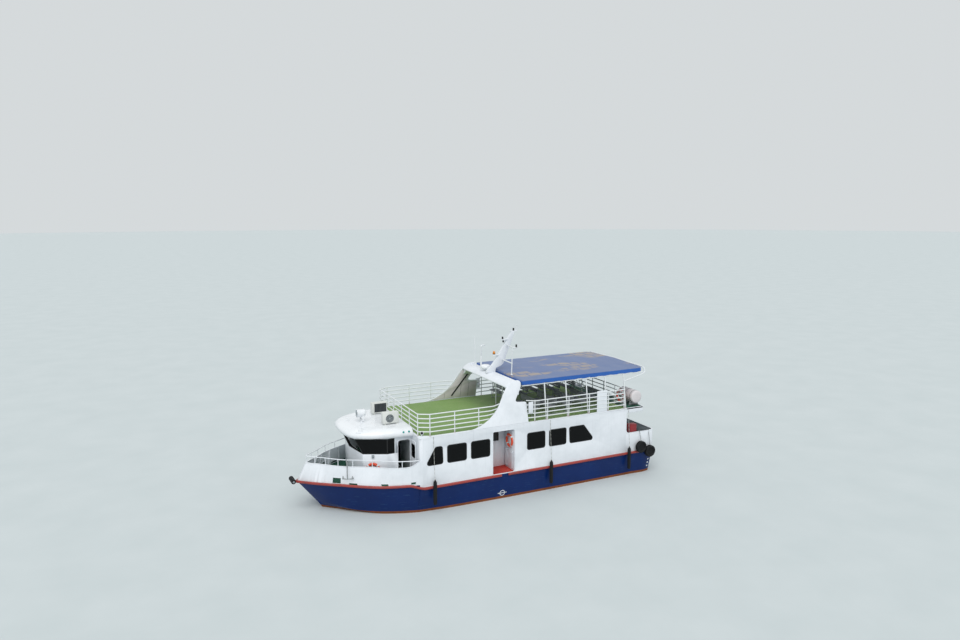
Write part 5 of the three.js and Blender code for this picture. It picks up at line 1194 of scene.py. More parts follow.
def cushion(name, x, y, z, crown_axis):
    """A boxed vinyl cushion: its faces crowned, its sides pulled in between the corners, with a rounded edge."""
    bm = bmesh.new()
    slab(bm, x, y, z)
    bmesh.ops.subdivide_edges(bm, edges=bm.edges, cuts=7, use_grid_fill=True)
    middle = Vector([(a + b) / 2 for a, b in (x, y, z)])
    half = Vector([abs(b - a) / 2 for a, b in (x, y, z)])
    axis = "xyz".index(crown_axis)
    others = [k for k in range(3) if k != axis]
    crown = pull = 0.012
    for v in bm.verts:
        t = [(v.co[k] - middle[k]) / half[k] for k in range(3)]
        v.co[axis] += t[axis] * crown * math.prod(1 - t[k] ** 2 for k in others)
        for k, other in (others, others[::-1]):
            if abs(t[k]) > 0.99:
                v.co[k] -= math.copysign((1 - t[other] ** 2) * pull, t[k])
    edges = [e for e in bm.edges if len(e.link_faces) == 2 and e.calc_face_angle(0) > 0.9]
    bmesh.ops.bevel(bm, geom=edges, offset=min(half) * 0.42, segments=3, profile=0.5, material=-1, affect="EDGES",
                    clamp_overlap=True)
    made = piece(name, bm, vinyl, "helm", angle=75)
    soften = made.modifiers.new("soft", "SUBSURF")
    soften.levels = soften.render_levels = 1


cushion("helm_seat_cushion", (4.84, 5.27), (-0.235, 0.235), (2.115, 2.205), "z")
cushion("helm_back_cushion", (4.79, 4.87), (-0.225, 0.225), (2.24, 2.78), "x")
bm = bmesh.new()
slab(bm, (4.84, 5.26), (-0.22, 0.22), (2.1, 2.116))
pipes(bm, [[(5.0, y, 2.108), (4.8, y, 2.108), (4.79, y, 2.3)] for y in (-0.15, 0.15)], 0.01, corner=0.04)
piece("helm_seat_pan", bm, grey_enamel, "helm", bevel=0.003, angle=50, segments=1)

# Upper deck: steel plate with a deep white coaming round its after overhang, notched for the stair. Artificial turf
# is glued down inside a bare painted margin as far aft as the stern rail, and dark green deck paint lies beyond it.
ON_DECK = 3.8503
bm = bmesh.new()
deck_line = [(-9.23, -3.08), (-9.17, -3.15), (3.48, -3.15), (4.05, -2.85), (4.05, 2.85), (3.48, 3.15), (-9.17, 3.15),
             (-9.23, 3.08), (-9.23, -2.23), (-8.531, -2.23), (-8.531, -2.97), (-9.23, -2.97)]
plate(bm, deck_line, "z", 3.7703, 3.8435)
for side in (1, -1):
    # A corner plate closes the saloon's square corner, where the deck's own edge is cut back.
    plate(bm, [(3.4, side * 3.148), (4.04, side * 2.8), (4.055, side * 3.148)], "z", 3.7706, 3.786)
coaming = [[(-8.101, 3.125, 3.57), (-9.17, 3.125, 3.57), (-9.205, 3.08, 3.57), (-9.205, -2.23, 3.57)],
           [(-9.205, -2.97, 3.57), (-9.205, -3.08, 3.57), (-9.17, -3.125, 3.57), (-8.101, -3.125, 3.57)]]
for path in coaming:
    run(bm, path, [(-0.025, 0.0), (0.025, 0.0), (0.025, 0.2799), (-0.025, 0.2799)])
for x in (-8.35, -8.65, -8.95):
    slab(bm, (x - 0.02, x + 0.02), (-2.2, 3.1), (3.68, 3.771))
piece("upper_deck_plating", bm, white, "upper_deck", bevel=0.006, angle=50)

turf, tree, at = new_finish("artificial_turf", Sheen_Weight=0.25)
# Blades are 1 mm on the real turf, and the tufts are drawn at 22 mm so that the pile shows.
tufts = node(tree, "TexNoise", {"Vector": at, "Scale": per(22), "Detail": 4.0, "Roughness": 0.8})
blades = node(tree, "Mix", {0: tufts, 6: "#3f6a1f", 7: "#86a94a"}, data_type="RGBA")
# The turf came in lengths 4 m wide, laid across the boat, with the pile brushed a little differently in each.
lengths = node(tree, "TexWave", {"Vector": at, "Scale": wave_scale(3950), "Distortion": 0.6}, bands_direction="X")
brushed = node(tree, "MapRange", {"Value": lengths, "To Max": 0.22})
lay = node(tree, "Mix", {0: brushed, 6: blades, 7: "#4d7426"}, data_type="RGBA")
flattened = node(tree, "TexNoise", {"Vector": at, "Scale": per(650), "Detail": 6.0, "Roughness": 0.65})
scuffed = node(tree, "MapRange", {"Value": flattened, "From Min": 0.5, "From Max": 0.75, "To Max": 0.55})
node(tree, "Mix", {0: scuffed, 6: lay, 7: "#8a9a63"}, to="Base Color", data_type="RGBA")
node(tree, "MapRange", {"Value": tufts, "To Min": 0.98, "To Max": 0.85}, to="Roughness")
node(tree, "Bump", {"Height": tufts, "Distance": 0.008}, to="Normal")
bm = bmesh.new()
plate(bm, [(-8.1, -3.05), (3.45, -3.05), (3.96, -2.78), (3.96, 2.78), (3.45, 3.05), (-8.1, 3.05)], "z",
      3.8425, 3.8495)
piece("upper_deck_turf", bm, turf, "upper_deck")
bm = bmesh.new()
plate(bm, [(-9.17, 3.06), (-9.17, -2.2), (-8.5, -2.2), (-8.5, -3.0), (-8.105, -3.0), (-8.105, 3.06)], "z",
      3.8425, 3.8465)
piece("overhang_paint", bm, green_deck, "upper_deck")

# Arch: two hollow plates swept up and inboard from the deck edge, and a smooth beam between their heads. White
# enamel. A grey sheet on each plate's inboard face is painted shade, and a dark diagonal strip with thin dark upright
# lines crosses it.
SWEEP = [
    (-1.919, ON_DECK), (1.34, ON_DECK), (1.09, 3.885), (0.778, 3.985), (0.52, 4.098), (0.28, 4.232), (0.067, 4.395),
    (-0.105, 4.555), (-0.26, 4.725), (-0.389, 4.905), (-0.52, 5.12), (-0.646, 5.345), (-0.83, 5.6), (-0.99, 5.77),
    (-1.11, 5.87), (-1.25, 5.935), (-1.4, 5.962), (-1.57, 5.965), (-1.66, 5.93), (-1.715, 5.85), (-1.712, 5.7),
    (-1.64, 5.52), (-1.34, 5.06), (-1.311, 4.965), (-1.4, 4.905), (-1.839, 4.873), (-1.9, 4.85), (-1.919, 4.8),
]


def leaning(bm, verts, side):
    """Leans plate that was cut upright at the deck edge, 1 in 4 inboard from its foot."""
    for v in verts:
        v.co.y -= side * 0.25 * (v.co.z - 3.85)


def arch_face(height):
    """How far out the arch's outer face is at a height."""
    return 3.145 - 0.25 * (height - 3.85)


bm, shaded_face, strip = bmesh.new(), bmesh.new(), bmesh.new()
for side in (1, -1):
    leaning(bm, plate(bm, SWEEP, "y", side * 3.145, side * 3.075), side)
    plate(bm, [(side * (arch_face(5.25) - 0.03), 5.25), (side * (arch_face(5.7) - 0.03), 5.7), (side * 2.15, 5.7)],
          "x", -1.56, -0.96)
    panel = [(-1.86, 3.9), (0.9, 3.9), (0.62, 4.0), (0.18, 4.245), (-0.03, 4.41), (-0.2, 4.57), (-0.355, 4.74),
             (-0.48, 4.915), (-0.61, 5.13), (-0.735, 5.35), (-0.89, 5.57), (-1.6, 5.57), (-1.2, 5.02), (-1.25, 4.88),
             (-1.4, 4.82), (-1.86, 4.8)]
    leaning(shaded_face, plate(shaded_face, panel, "y", side * 3.0762, side * 3.068), side)
    # A dark diagonal strip and thin dark upright lines lie over the inboard sheet.
    low, high = Vector((-0.34, 4.03)), Vector((-1.38, 5.53))
    half_width = (high - low).orthogonal().normalized() * 0.045
    spots = [low + half_width, high + half_width, high - half_width, low - half_width]
    leaning(strip, plate(strip, spots, "y", side * 3.0685, side * 3.05), side)
    for x, z0, z1 in ((-0.9, 3.92, 4.8), (-1.38, 3.92, 4.78), (0.1, 3.92, 4.22)):
        leaning(strip, plate(strip, [(x - 0.006, z0), (x + 0.006, z0), (x + 0.006, z1), (x - 0.006, z1)], "y",
                             side * 3.0685, side * 3.0665), side)
beam_half = arch_face(5.9) - 0.015
plate(bm, [(-0.96, 5.625), (-0.86, 5.65), (-0.87, 5.7), (-1.01, 5.83), (-1.15, 5.89), (-1.26, 5.9), (-1.6, 5.9),
           (-1.67, 5.86), (-1.69, 5.72), (-1.6, 5.64)], "y", -beam_half, beam_half)
piece("arch_plating", bm, white, "arch", bevel=0.016, angle=28, segments=3)
# The grey of the inboard sheet is painted shade on the white plate.
arch_shade_grey = painted("grey_painted_shade_of_arch", "#d6cfd3", "#b3abae", rough=0.45, streaks=0.35, plate_wave=0.001)
piece("arch_inboard_shade", shaded_face, arch_shade_grey, "arch", bevel=0.002, angle=50, segments=1)
piece("arch_dark_strip", strip, gasket, "arch", bevel=0.002, angle=50, segments=1)

# Antennas on the arch: a whip on a ferrule, a bent pipe with a hinged foot, their pad, and the radar's closed dome.
bm = bmesh.new()
for y in (-1.95, -1.2):
    slab(bm, (-1.42, -1.28), (y - 0.07, y + 0.07), (5.8985, 5.925))
    for x in (-1.4, -1.3):
        for dy in (-0.05, 0.05):
            turned(bm, [(0.0, 0.012), (0.009, 0.012), (0.009, 0.0)], (x, y + dy, 5.9245), steps=6)
turned(bm, [(0.0, 0.0), (0.045, 0.0), (0.045, 0.03), (0.034, 0.045), (0.032, 0.22), (0.022, 0.25), (0.02, 0.9),
            (0.016, 1.6), (0.0, 1.64)], (-1.35, -1.95, 5.92), axis=(0.0, -0.03, 1.0), steps=16)
pipes(bm, [[(-1.35, -1.2, 5.92), (-1.35, -1.2, 7.165), (-1.56, -1.2, 7.19)]], 0.036, corner=0.06)
turned(bm, [(0.0, 5.92), (0.062, 5.92), (0.062, 5.945), (0.046, 5.955), (0.046, 6.56), (0.036, 6.58), (0.0, 6.58)],
       (-1.35, -1.2, 0.0), steps=20)
bar(bm, (-1.35, -1.27, 6.42), (-1.35, -1.13, 6.42), 0.016)
piece("arch_antennas", bm, gelcoat, "arch", bevel=0.003, angle=50, segments=1)
bm = bmesh.new()
turned(bm, [(0.0, 5.9003), (0.075, 5.9003), (0.075, 5.912), (0.055, 5.92), (0.052, 6.01), (0.12, 6.018), (0.24, 6.03),
            (0.262, 6.05), (0.27, 6.09), (0.268, 6.12), (0.262, 6.125), (0.262, 6.131), (0.267, 6.136),
            (0.262, 6.165), (0.245, 6.195), (0.205, 6.217), (0.13, 6.228), (0.0, 6.23)], (-1.29, -0.55, 0.0),
       steps=56)
piece("radar_shell", bm, gelcoat, "radar_dome", angle=50)

# Rails of the open deck: five white pipes between flat-footed posts, ended against the arch. Thick brush-painted
# enamel, a little rusty at the feet.
rail_white, tree, at = new_finish("brush_painted_rail_enamel", Coat_Weight=0.15)
height = node(tree, "SeparateXYZ", {0: at})
blotch = node(tree, "TexNoise", {"Vector": at, "Scale": per(180), "Detail": 6.0, "Roughness": 0.7})
low = node(tree, "MapRange", {"Value": height, "From Min": 3.86, "From Max": 4.0, "To Min": 0.75, "To Max": 0.0})
rusty = node(tree, "Math", {0: low, 1: blotch}, operation="MULTIPLY")
clean = node(tree, "Mix", {0: blotch, 6: "#eceff1", 7: "#cfd4d8"}, data_type="RGBA")
node(tree, "Mix", {0: rusty, 6: clean, 7: "#8b5a3a"}, to="Base Color", data_type="RGBA")
node(tree, "MapRange", {"Value": blotch, "To Min": 0.26, "To Max": 0.5}, to="Roughness")
brush = node(tree, "TexNoise", {"Vector": at, "Scale": per(24), "Detail": 3.0})
node(tree, "Bump", {"Height": brush, "Distance": 0.0008}, to="Normal")
LEVELS = [4.916, 4.701, 4.486, 4.271, 4.056]
RAIL_OUT = 3.11


def rail_posts(bm, spots):
    """Posts on small round flanges, up to the top pipe."""
    for x, y, *foot in spots:
        z = foot[0] if foot else ON_DECK
        pipes(bm, [[(x, y, z), (x, y, 4.915)]], 0.026)
        if not foot:
            turned(bm, [(0.0, 0.0), (0.045, 0.0), (0.045, 0.008), (0.0, 0.012)], (x, y, ON_DECK), steps=16)


def sweep_edge(height):
    """Where the arch's leading edge is at a height."""
    for (x0, z0), (x1, z1) in zip(SWEEP[1:], SWEEP[2:]):
        if z1 >= height:
            return x0 + (x1 - x0) * (height - z0) / (z1 - z0)


bm = bmesh.new()
for z in LEVELS:
    near = sweep_edge(z - 0.024) + 0.012
    half = [(near, arch_face(z) - 0.035, z), (near + 0.42, RAIL_OUT, z), (3.5, RAIL_OUT, z), (4.01, 2.81, z)]
    pipes(bm, [from_port(half)], 0.028, corner=0.12)
half = [(0.9, RAIL_OUT, 3.984), (2.2, RAIL_OUT), (3.5, RAIL_OUT), (4.01, 2.81), (4.01, 1.7), (4.01, 0.6)]
rail_posts(bm, half + [(p[0], -p[1], *p[2:]) for p in half])
piece("rail_bow_pipes", bm, rail_white, "rail_forward")
for name, side in SIDES:
    bm = bmesh.new()
    for z in LEVELS:
        pipes(bm, [[(-1.932, side * (arch_face(z) - 0.035), z), (-2.3, side * RAIL_OUT, z),
                    (-7.96, side * RAIL_OUT, z)]], 0.028, corner=0.1)
    rail_posts(bm, [(x, side * RAIL_OUT) for x in (-2.3, -3.06, -4.36, -5.65, -6.87, -7.93)])
    piece("rail_pipes_" + name, bm, rail_white, "rail_side_" + name)
    bm = bmesh.new()
    slab(bm, (-6.79, -6.14), (side * 3.095, side * 3.125), (ON_DECK, 5.0))
    slab(bm, (-2.2, -1.93), (side * 3.1, side * 3.118), (4.3, 4.89))
    piece("rail_boards_" + name, bm, white, "rail_side_" + name, bevel=0.006, angle=50)
bm = bmesh.new()
for z in LEVELS:
    pipes(bm, [[(-8.06, -2.24, z), (-8.06, 2.9, z)]], 0.028)
rail_posts(bm, [(-8.06, y) for y in (-2.24, -1.2, -0.1, 1.0, 2.05, 2.9)])
piece("rail_stern_pipes", bm, rail_white, "rail_stern")
# A round black deck lamp stands in a white housing at the port and starboard forward corners.
bm, rim = bmesh.new(), bmesh.new()
for side in (1, -1):
    turned(bm, [(0.0, 0.0), (0.085, 0.0), (0.09, 0.02), (0.085, 0.07), (0.05, 0.1), (0.0, 0.11)],
           (3.86, side * 2.965, 4.0), axis=(-0.5, -side * 0.86, 0.0), steps=28)
    pipes(bm, [[(3.86, side * 2.955, ON_DECK), (3.86, side * 2.955, 3.96)]], 0.02)
    turned(rim, [(0.0, 0.004), (0.06, 0.006), (0.07, 0.0), (0.0, -0.002)], (3.862, side * 2.969, 4.0),
           axis=(0.5, side * 0.86, 0.0), steps=28)
piece("deck_lamp_housings", bm, gelcoat, "rail_forward")
piece("deck_lamp_lenses", rim, gasket, "rail_forward")

# Canopy frame: a rim of pipe at the eaves, bows across it, raked posts from the deck edge, and an end pipe that
# rounds the corners aft and comes back to the last posts as a brace. The same brushed enamel as the rails.
POSTS = [-3.13, -4.43, -5.72, -6.94, -8.18]
EAVES_OUT, EAVES_UP = 2.64, 5.65
foot_plate = [(0.0, 0.0), (0.05, 0.0), (0.05, 0.008), (0.03, 0.014)]
bm = bmesh.new()
for side in (1, -1):
    pipes(bm, [[(-1.78, side * EAVES_OUT, EAVES_UP), (-9.5, side * EAVES_OUT, EAVES_UP)]], 0.028)
    for x in POSTS:
        pipes(bm, [[(x + 0.1, side * 3.05, 3.8505), (x, side * EAVES_OUT, EAVES_UP)]], 0.034)
        turned(bm, foot_plate, (x + 0.1, side * 3.05, ON_DECK), steps=16)
end_pipe = [(-8.18, 2.7, 5.26), (-9.3, 2.76, 5.55), (-9.6, 2.74, 5.66), (-9.57, 2.62, 5.915), (-9.52, 1.2, 5.955),
            (-9.52, 0.0, 5.99)]
pipes(bm, [from_port(end_pipe)], 0.032, corner=0.16)
for x in [-2.06, *POSTS, -9.08]:
    bow = [(x, EAVES_OUT, EAVES_UP), (x, EAVES_OUT, 5.878), (x, 1.3, 5.925), (x, 0.0, 5.962)]
    pipes(bm, [from_port(bow)], 0.018, corner=0.1)
# Two props stand on the deck under the forward bow.
for y in (-0.78, 0.0):
    pipes(bm, [[(-2.06, y, 3.8505), (-2.06, y, 5.955)]], 0.03)
    turned(bm, foot_plate, (-2.06, y, ON_DECK), steps=16)
for y in (-1.3, 0.0, 1.3):
    z = 5.93 - 0.037 * abs(y) / 1.3
    pipes(bm, [[(-2.06, y, z), (-9.5, y, z)]], 0.014)
piece("canopy_pipework", bm, rail_white, "canopy_frame")

# Canopy: one sheet of coated polyester stretched over the bows and turned down as a valance. Blue where it hangs; its
# top is painted slate-grey as a painted reflection of the bright sky, and shines a little, with old tan patches of
# lifted coating.
cloth, tree, at = new_finish("coated_polyester_canopy", Sheen_Weight=0.1, Coat_Weight=0.1, Coat_Roughness=0.4)
height = node(tree, "SeparateXYZ", {0: at})
# Above the eaves the colour turns slate-grey: a painted reflection of the sky on the cloth's top.
reflecting_top = node(tree, "MapRange", {"Value": height, "From Min": 5.875, "From Max": 5.912})
cloth_tone = node(tree, "TexNoise", {"Vector": at, "Scale": per(1600), "Detail": 6.0, "Roughness": 0.6})
painted_sky_reflection = node(tree, "Mix", {0: cloth_tone, 6: "#4f6394", 7: "#67799f"}, data_type="RGBA")
# The coating lifts in blocks of about 800 by 520 mm, and only where a broad, stretched noise lets it.
placed = node(tree, "Mapping", {"Vector": at, "Location": (0.35, 0.2, 0.0)})
blocks = node(tree, "TexBrick", {"Vector": placed, "Scale": 1.0, "Mortar Size": 0.08, "Mortar Smooth": 0.7,
                                 "Brick Width": 0.8, "Row Height": 0.52, "Color1": (1, 1, 1, 1),
                                 "Color2": (0.55, 0.55, 0.55, 1), "Mortar": (0, 0, 0, 1)})
stretched = node(tree, "Mapping", {"Vector": at, "Location": (2.2, 1.1, 0.0), "Scale": (0.5, 1.0, 1.0)})
lifted = node(tree, "TexNoise", {"Vector": stretched, "Scale": per(1500), "Detail": 2.0})
thin = node(tree, "MapRange", {"Value": lifted, "From Min": 0.54, "From Max": 0.59})
bared = node(tree, "Math", {0: thin, 1: blocks}, operation="MULTIPLY")
patch = node(tree, "Math", {0: bared, 1: 0.75}, operation="MULTIPLY")
top = node(tree, "Mix", {0: patch, 6: painted_sky_reflection, 7: "#a8977f"}, data_type="RGBA")
valance_blue = node(tree, "Mix", {0: cloth_tone, 6: "#0f4fa3", 7: "#1c62b6"}, data_type="RGBA")
node(tree, "Mix", {0: reflecting_top, 6: valance_blue, 7: top}, to="Base Color", data_type="RGBA")
node(tree, "MapRange", {"Value": cloth_tone, "To Min": 0.42, "To Max": 0.66}, to="Roughness")
# The weave is under 1 mm on the real cloth, and is drawn at 63 mm so that it shows.
warp, weft = [node(tree, "TexWave", {"Vector": at, "Scale": wave_scale(63.2)}, bands_direction=way) for way in "XY"]
weave = node(tree, "Math", {0: warp, 1: weft}, operation="MULTIPLY")
threads = node(tree, "Bump", {"Height": weave, "Distance": 0.0007, "Strength": 0.5})
pucker = node(tree, "TexNoise", {"Vector": at, "Scale": per(380), "Detail": 3.0})
node(tree, "Bump", {"Height": pucker, "Distance": 0.006, "Normal": threads}, to="Normal")

BOWS = [-1.8, -3.13, -4.43, -5.72, -6.94, -8.18, -9.08, -9.47]
half_across = [math.sin(math.pi / 2 * k / 16) for k in range(17)]
ACROSS = sorted({round(s * a, 5) for a in half_across for s in (1, -1)})


def canopy_ring(x, half_width, sag, drop):
    """The cloth's section at x: hem, valance, eaves, slope and ridge. Drop lowers it to the hem at the two ends."""
    ring = []
    hem = 5.695 + 0.01 * math.sin(x * 9.3) + 0.005 * math.sin(x * 23.0)
    belly = 0.01 * math.sin(x * 9.3 + 0.6)
    for side in (-1, 1):
        part = [(side * (half_width - 0.004 + belly * t * (1 - t) * 4), hem + (5.905 - hem) * t)
                for t in (0.0, 0.04, 0.3, 0.6, 0.85)]
        ring.append(part if side < 0 else part[::-1])
    top_line = []
    for t in ACROSS:
        slope = 5.915 + 0.087 * (1 - math.sqrt(t * t + 0.02))
        dip = sag * (1 - t ** 6) * (0.35 + 0.65 * (2 * abs(t) - 1) ** 2 if abs(t) < 0.5 else 1.0)
        top_line.append((t * half_width, slope - dip))
    line = ring[0] + top_line + ring[1]
    return [(x, y, z + (5.7 - z) * drop) for y, z in line]


rings = []
for a, b in zip(BOWS, BOWS[1:]):
    steps = max(3, round((a - b) / 0.11))
    for k in range(steps + (b == BOWS[-1])):
        x = a + (b - a) * k / steps
        sag = 0.028 * min(1.0, (a - b) / 1.25) * math.sin(math.pi * k / steps) ** 2
        near = max(0.0, x + 9.47)
        width = 2.672 if near >= 0.22 else 2.672 - 0.22 + math.sqrt(max(0.22 ** 2 - (0.22 - near) ** 2, 0.0))
        if a == BOWS[0] and k == 0:
            rings += [canopy_ring(x + 0.004, width, 0.0, d) for d in (1.0, 0.66, 0.33)]
        rings.append(canopy_ring(x, width, sag, 0.0))
rings += [canopy_ring(-9.474, 2.452, 0.0, d) for d in (0.33, 0.66, 1.0)]
bm = bmesh.new()
skin(bm, rings, closed=False, caps=False)
canopy = piece("canopy_sheet", bm, cloth, "canopy", angle=180)

# Benches under the canopy: slatted seats and backs of grey moulded plank on bent steel legs, on two floor rails.
plank, tree, at = new_finish("grey_moulded_plank")
along_plank = node(tree, "Mapping", {"Vector": at, "Scale": (1.0, 0.12, 1.0)})
fleck = node(tree, "TexNoise", {"Vector": along_plank, "Scale": per(30), "Detail": 5.0})
node(tree, "Mix", {0: fleck, 6: "#6e7478", 7: "#969b9e"}, to="Base Color", data_type="RGBA")
node(tree, "MapRange", {"Value": fleck, "To Min": 0.5, "To Max": 0.72}, to="Roughness")
node(tree, "Bump", {"Height": fleck, "Distance": 0.001}, to="Normal")
for name, side in SIDES:
    slats, legs = bmesh.new(), bmesh.new()
    span = (side * 0.5, side * 2.5)
    for x in (-2.7, -3.75, -4.8, -5.85, -6.9):
        for k in range(4):
            slab(slats, (x - 0.225 + k * 0.107, x - 0.225 + k * 0.107 + 0.095), span, (4.284, 4.31))
        for k in range(3):
            slab(slats, (x - 0.246, x - 0.224), span, (4.4 + k * 0.103, 4.49 + k * 0.103))
        for y in (0.7, 2.3):
            pipes(legs, [[(x - 0.2, side * y, 3.87), (x - 0.232, side * y, 4.25), (x - 0.252, side * y, 4.69)]],
                  0.014, corner=0.08)
            pipes(legs, [[(x + 0.12, side * y, 3.87), (x + 0.15, side * y, 4.268), (x - 0.23, side * y, 4.268)]],
                  0.014, corner=0.05)
    for y in (0.7, 2.3):
        slab(legs, (-7.1, -2.55), (side * (y - 0.025), side * (y + 0.025)), (ON_DECK, 3.872))
    piece("bench_slats_" + name, slats, plank, "benches_" + name, bevel=0.006, angle=50)
    piece("bench_legs_" + name, legs, grey_enamel, "benches_" + name)

# Mast: a raked box of welded plate on the beam, flared at its foot, with brackets for its lamps, two arms to a
# stayed pole, and an amber beacon.
bm = bmesh.new()
spar = [(-1.05, 5.9003), (-1.07, 5.98), (-1.14, 6.08), (-1.24, 6.17), (-1.35, 6.26), (-1.47, 6.39), (-1.62, 6.6),
        (-1.85, 6.93), (-2.1, 7.33), (-2.36, 7.72), (-2.5, 7.92), (-2.58, 8.06), (-2.76, 8.06), (-2.69, 7.84),
        (-2.51, 7.31), (-2.37, 7.03), (-2.24, 6.72), (-2.2, 6.56), (-2.07, 6.34), (-1.92, 6.22), (-1.62, 6.13),
        (-1.59, 5.9003)]
plate(bm, spar, "y", -0.07, 0.07)
slab(bm, (-2.91, -2.53), (-0.06, 0.06), (8.045, 8.09))
for tip, root, z in ((-2.0, -2.36, 7.64), (-1.43, -1.84, 6.83)):
    plate(bm, rounded([(root, -0.09), (tip, -0.09), (tip, 0.09), (root, 0.09)], 0.06), "z", z - 0.03, z + 0.03)
    plate(bm, [(root + 0.1, z - 0.02), (tip - 0.12, z - 0.02), (root - 0.02, z - 0.16)], "y", -0.006, 0.006)
piece("mast_spar", bm, white, "mast", bevel=0.012, angle=30, segments=3)
bm = bmesh.new()
pipes(bm, [[(-2.86, 0.0, 8.07), (-2.885, 0.0, 8.14), (-2.925, 0.0, 8.33)]], 0.02, corner=0.04)
turned(bm, [(0.018, -0.02), (0.034, 0.03), (0.0, 0.012)], (-2.925, 0.0, 8.345), axis=(-0.18, 0, 0.98), steps=16)
pipes(bm, [[(-2.33, 0.0, 7.33), (-1.99, 1.25, 7.395), (-2.28, 1.25, 7.395)]], 0.034, corner=0.03)
pipes(bm, [[(-2.02, 0.0, 6.56), (-1.965, 1.25, 6.56)]], 0.034)
pipes(bm, [[(-1.94, 1.25, 5.76), (-1.99, 1.25, 7.41)]], 0.03)
slab(bm, (-1.95, -1.6845), (1.225, 1.275), (5.76, 5.8))
turned(bm, [(0.031, 0.0), (0.062, 0.004), (0.06, 0.012), (0.04, 0.03), (0.031, 0.05)], (-1.946, 1.25, 5.945),
       steps=20)
for z in (6.56, 7.395):
    turned(bm, [(0.0, -0.04), (0.036, -0.04), (0.036, 0.04), (0.0, 0.04)], (-1.968 - (z - 6.56) * 0.026, 1.25, z),
           steps=16)
BEACON = (-1.54, 0.0, 0.0)
turned(bm, [(0.0, 6.85), (0.09, 6.85), (0.09, 6.868), (0.076, 6.875), (0.0, 6.875)], BEACON, steps=28)
piece("mast_pipework", bm, rail_white, "mast")
bm = bmesh.new()
for x, y, z in ((-2.06, 0.0, 7.66), (-2.1, 0.0, 7.49), (-2.73, 0.0, 8.09), (-2.22, 1.25, 7.42)):
    turned(bm, [(0.0, 0.0), (0.05, 0.0), (0.052, 0.03), (0.044, 0.034), (0.044, 0.1), (0.052, 0.104), (0.05, 0.128),
                (0.02, 0.14), (0.0, 0.14)], (x, y, z), steps=24)
turned(bm, [(0.0, 6.875), (0.078, 6.875), (0.078, 6.91), (0.07, 6.918), (0.0, 6.918)], BEACON, steps=28)
piece("mast_lamps", bm, gasket, "mast", angle=50)
amber = ridged("amber_beacon_lens", 63.2, "Z", ("#d9790c", "#f7a02c"), 0.003, gloss=(0.2, 0.1),
               Transmission_Weight=0.15, Coat_Weight=0.4)
bm = bmesh.new()
turned(bm, [(0.0, 6.918), (0.07, 6.918), (0.069, 6.95), (0.066, 6.99), (0.058, 7.02), (0.042, 7.04), (0.02, 7.049),
            (0.0, 7.05)], BEACON, steps=32)
piece("mast_beacon", bm, amber, "mast")

# Liferaft: two halves of a moulded canister clamped at a flange, strapped down in a cradle of plate on the
# overhang. Old gelcoat, chalky and faintly pink.
chalky = painted("chalked_canister_gelcoat", "#d4cfd1", "#b3acad", rough=0.46, streaks=0.3, plate_wave=0.001)
RAFT = Vector((-8.86, 0.0, 4.36))
bm = bmesh.new()
turned(bm, [(0.0, 1.712), (0.1, 1.7), (0.27, 1.703), (0.325, 1.718), (0.345, 1.75), (0.348, 1.8), (0.348, 2.9),
            (0.345, 2.95), (0.325, 2.982), (0.27, 2.997), (0.1, 3.0), (0.0, 2.988)], RAFT, axis="y", steps=56)
slab(bm, (RAFT.x - 0.36, RAFT.x + 0.36), (1.8, 2.9), (RAFT.z - 0.012, RAFT.z + 0.012))
for dz in (-0.13, 0.0, 0.13):
    for y in (1.703, 2.997):
        slab(bm, (RAFT.x - 0.19, RAFT.x + 0.19), (y - 0.006, y + 0.006), (RAFT.z + dz - 0.016, RAFT.z + dz + 0.016))
piece("liferaft_canister", bm, chalky, "liferaft", bevel=0.006, angle=50)
bm = bmesh.new()
for y in (1.9, 2.35, 2.8):
    turned(bm, [(0.349, -0.02), (0.355, -0.018), (0.355, 0.018), (0.349, 0.02), (0.345, 0.0), (0.349, -0.02)],
           RAFT + Vector((0, y, 0)), axis="y", steps=56)
    slab(bm, (RAFT.x - 0.03, RAFT.x + 0.03), (y - 0.026, y + 0.026), (RAFT.z + 0.35, RAFT.z + 0.361))
for y in (2.0, 2.7):
    hollow = [(RAFT.x + across, RAFT.z - math.sqrt(0.352 ** 2 - across ** 2))
              for across in [0.25 - 0.5 * k / 8 for k in range(9)]]
    plate(bm, [(RAFT.x - 0.33, ON_DECK), (RAFT.x + 0.33, ON_DECK), *hollow], "y", y - 0.006, y + 0.006)
    for x in (-0.3, 0.3):
        slab(bm, (RAFT.x + x - 0.03, RAFT.x + x + 0.03), (y - 0.04, y + 0.04), (ON_DECK, 3.858))
piece("liferaft_cradle", bm, galvanised, "liferaft", bevel=0.002, angle=50, segments=1)

# Stern lifebuoy: hung on the stern rail's after side.
lifebuoy("stern_lifebuoy{}", (-8.1383, 2.47, 4.4), "lifebuoy_stern")

# Aft bulwark: white plate round the stern inside the deck edge, capped with a flat bar, with grey stanchion brackets
# and a grey sheet inboard that is painted shade on the bulwark's inner face.
stern = [(-8.1003, 3.15), (-8.9, 3.15)] + [p for p in sheer if p[0] < -9.2][::-1]
round_stern = [(x, -y) for x, y in stern] + list(reversed(stern))
bm = bmesh.new()
run(bm, [(x, y, 0.0) for x, y in round_stern], [(-0.008, 1.3003), (-0.008, 2.405), (-0.022, 2.405), (-0.022, 1.3003)])
run(bm, [(x, y, 0.0) for x, y in round_stern], [(-0.004, 2.404), (-0.004, 2.43), (-0.064, 2.43), (-0.064, 2.404)])
for side in (1, -1):
    y0, y1 = sorted((side * 3.128, side * 3.142))
    plate(bm, [(-8.1003, 2.42), (-8.3, 2.42), (-8.2, 2.455), (-8.145, 2.5), (-8.118, 2.56), (-8.1003, 2.66)], "y", y0,
          y1)
piece("aft_bulwark_plating", bm, white, "aft_bulwark", bevel=0.004, angle=40, segments=2)
bm = bmesh.new()
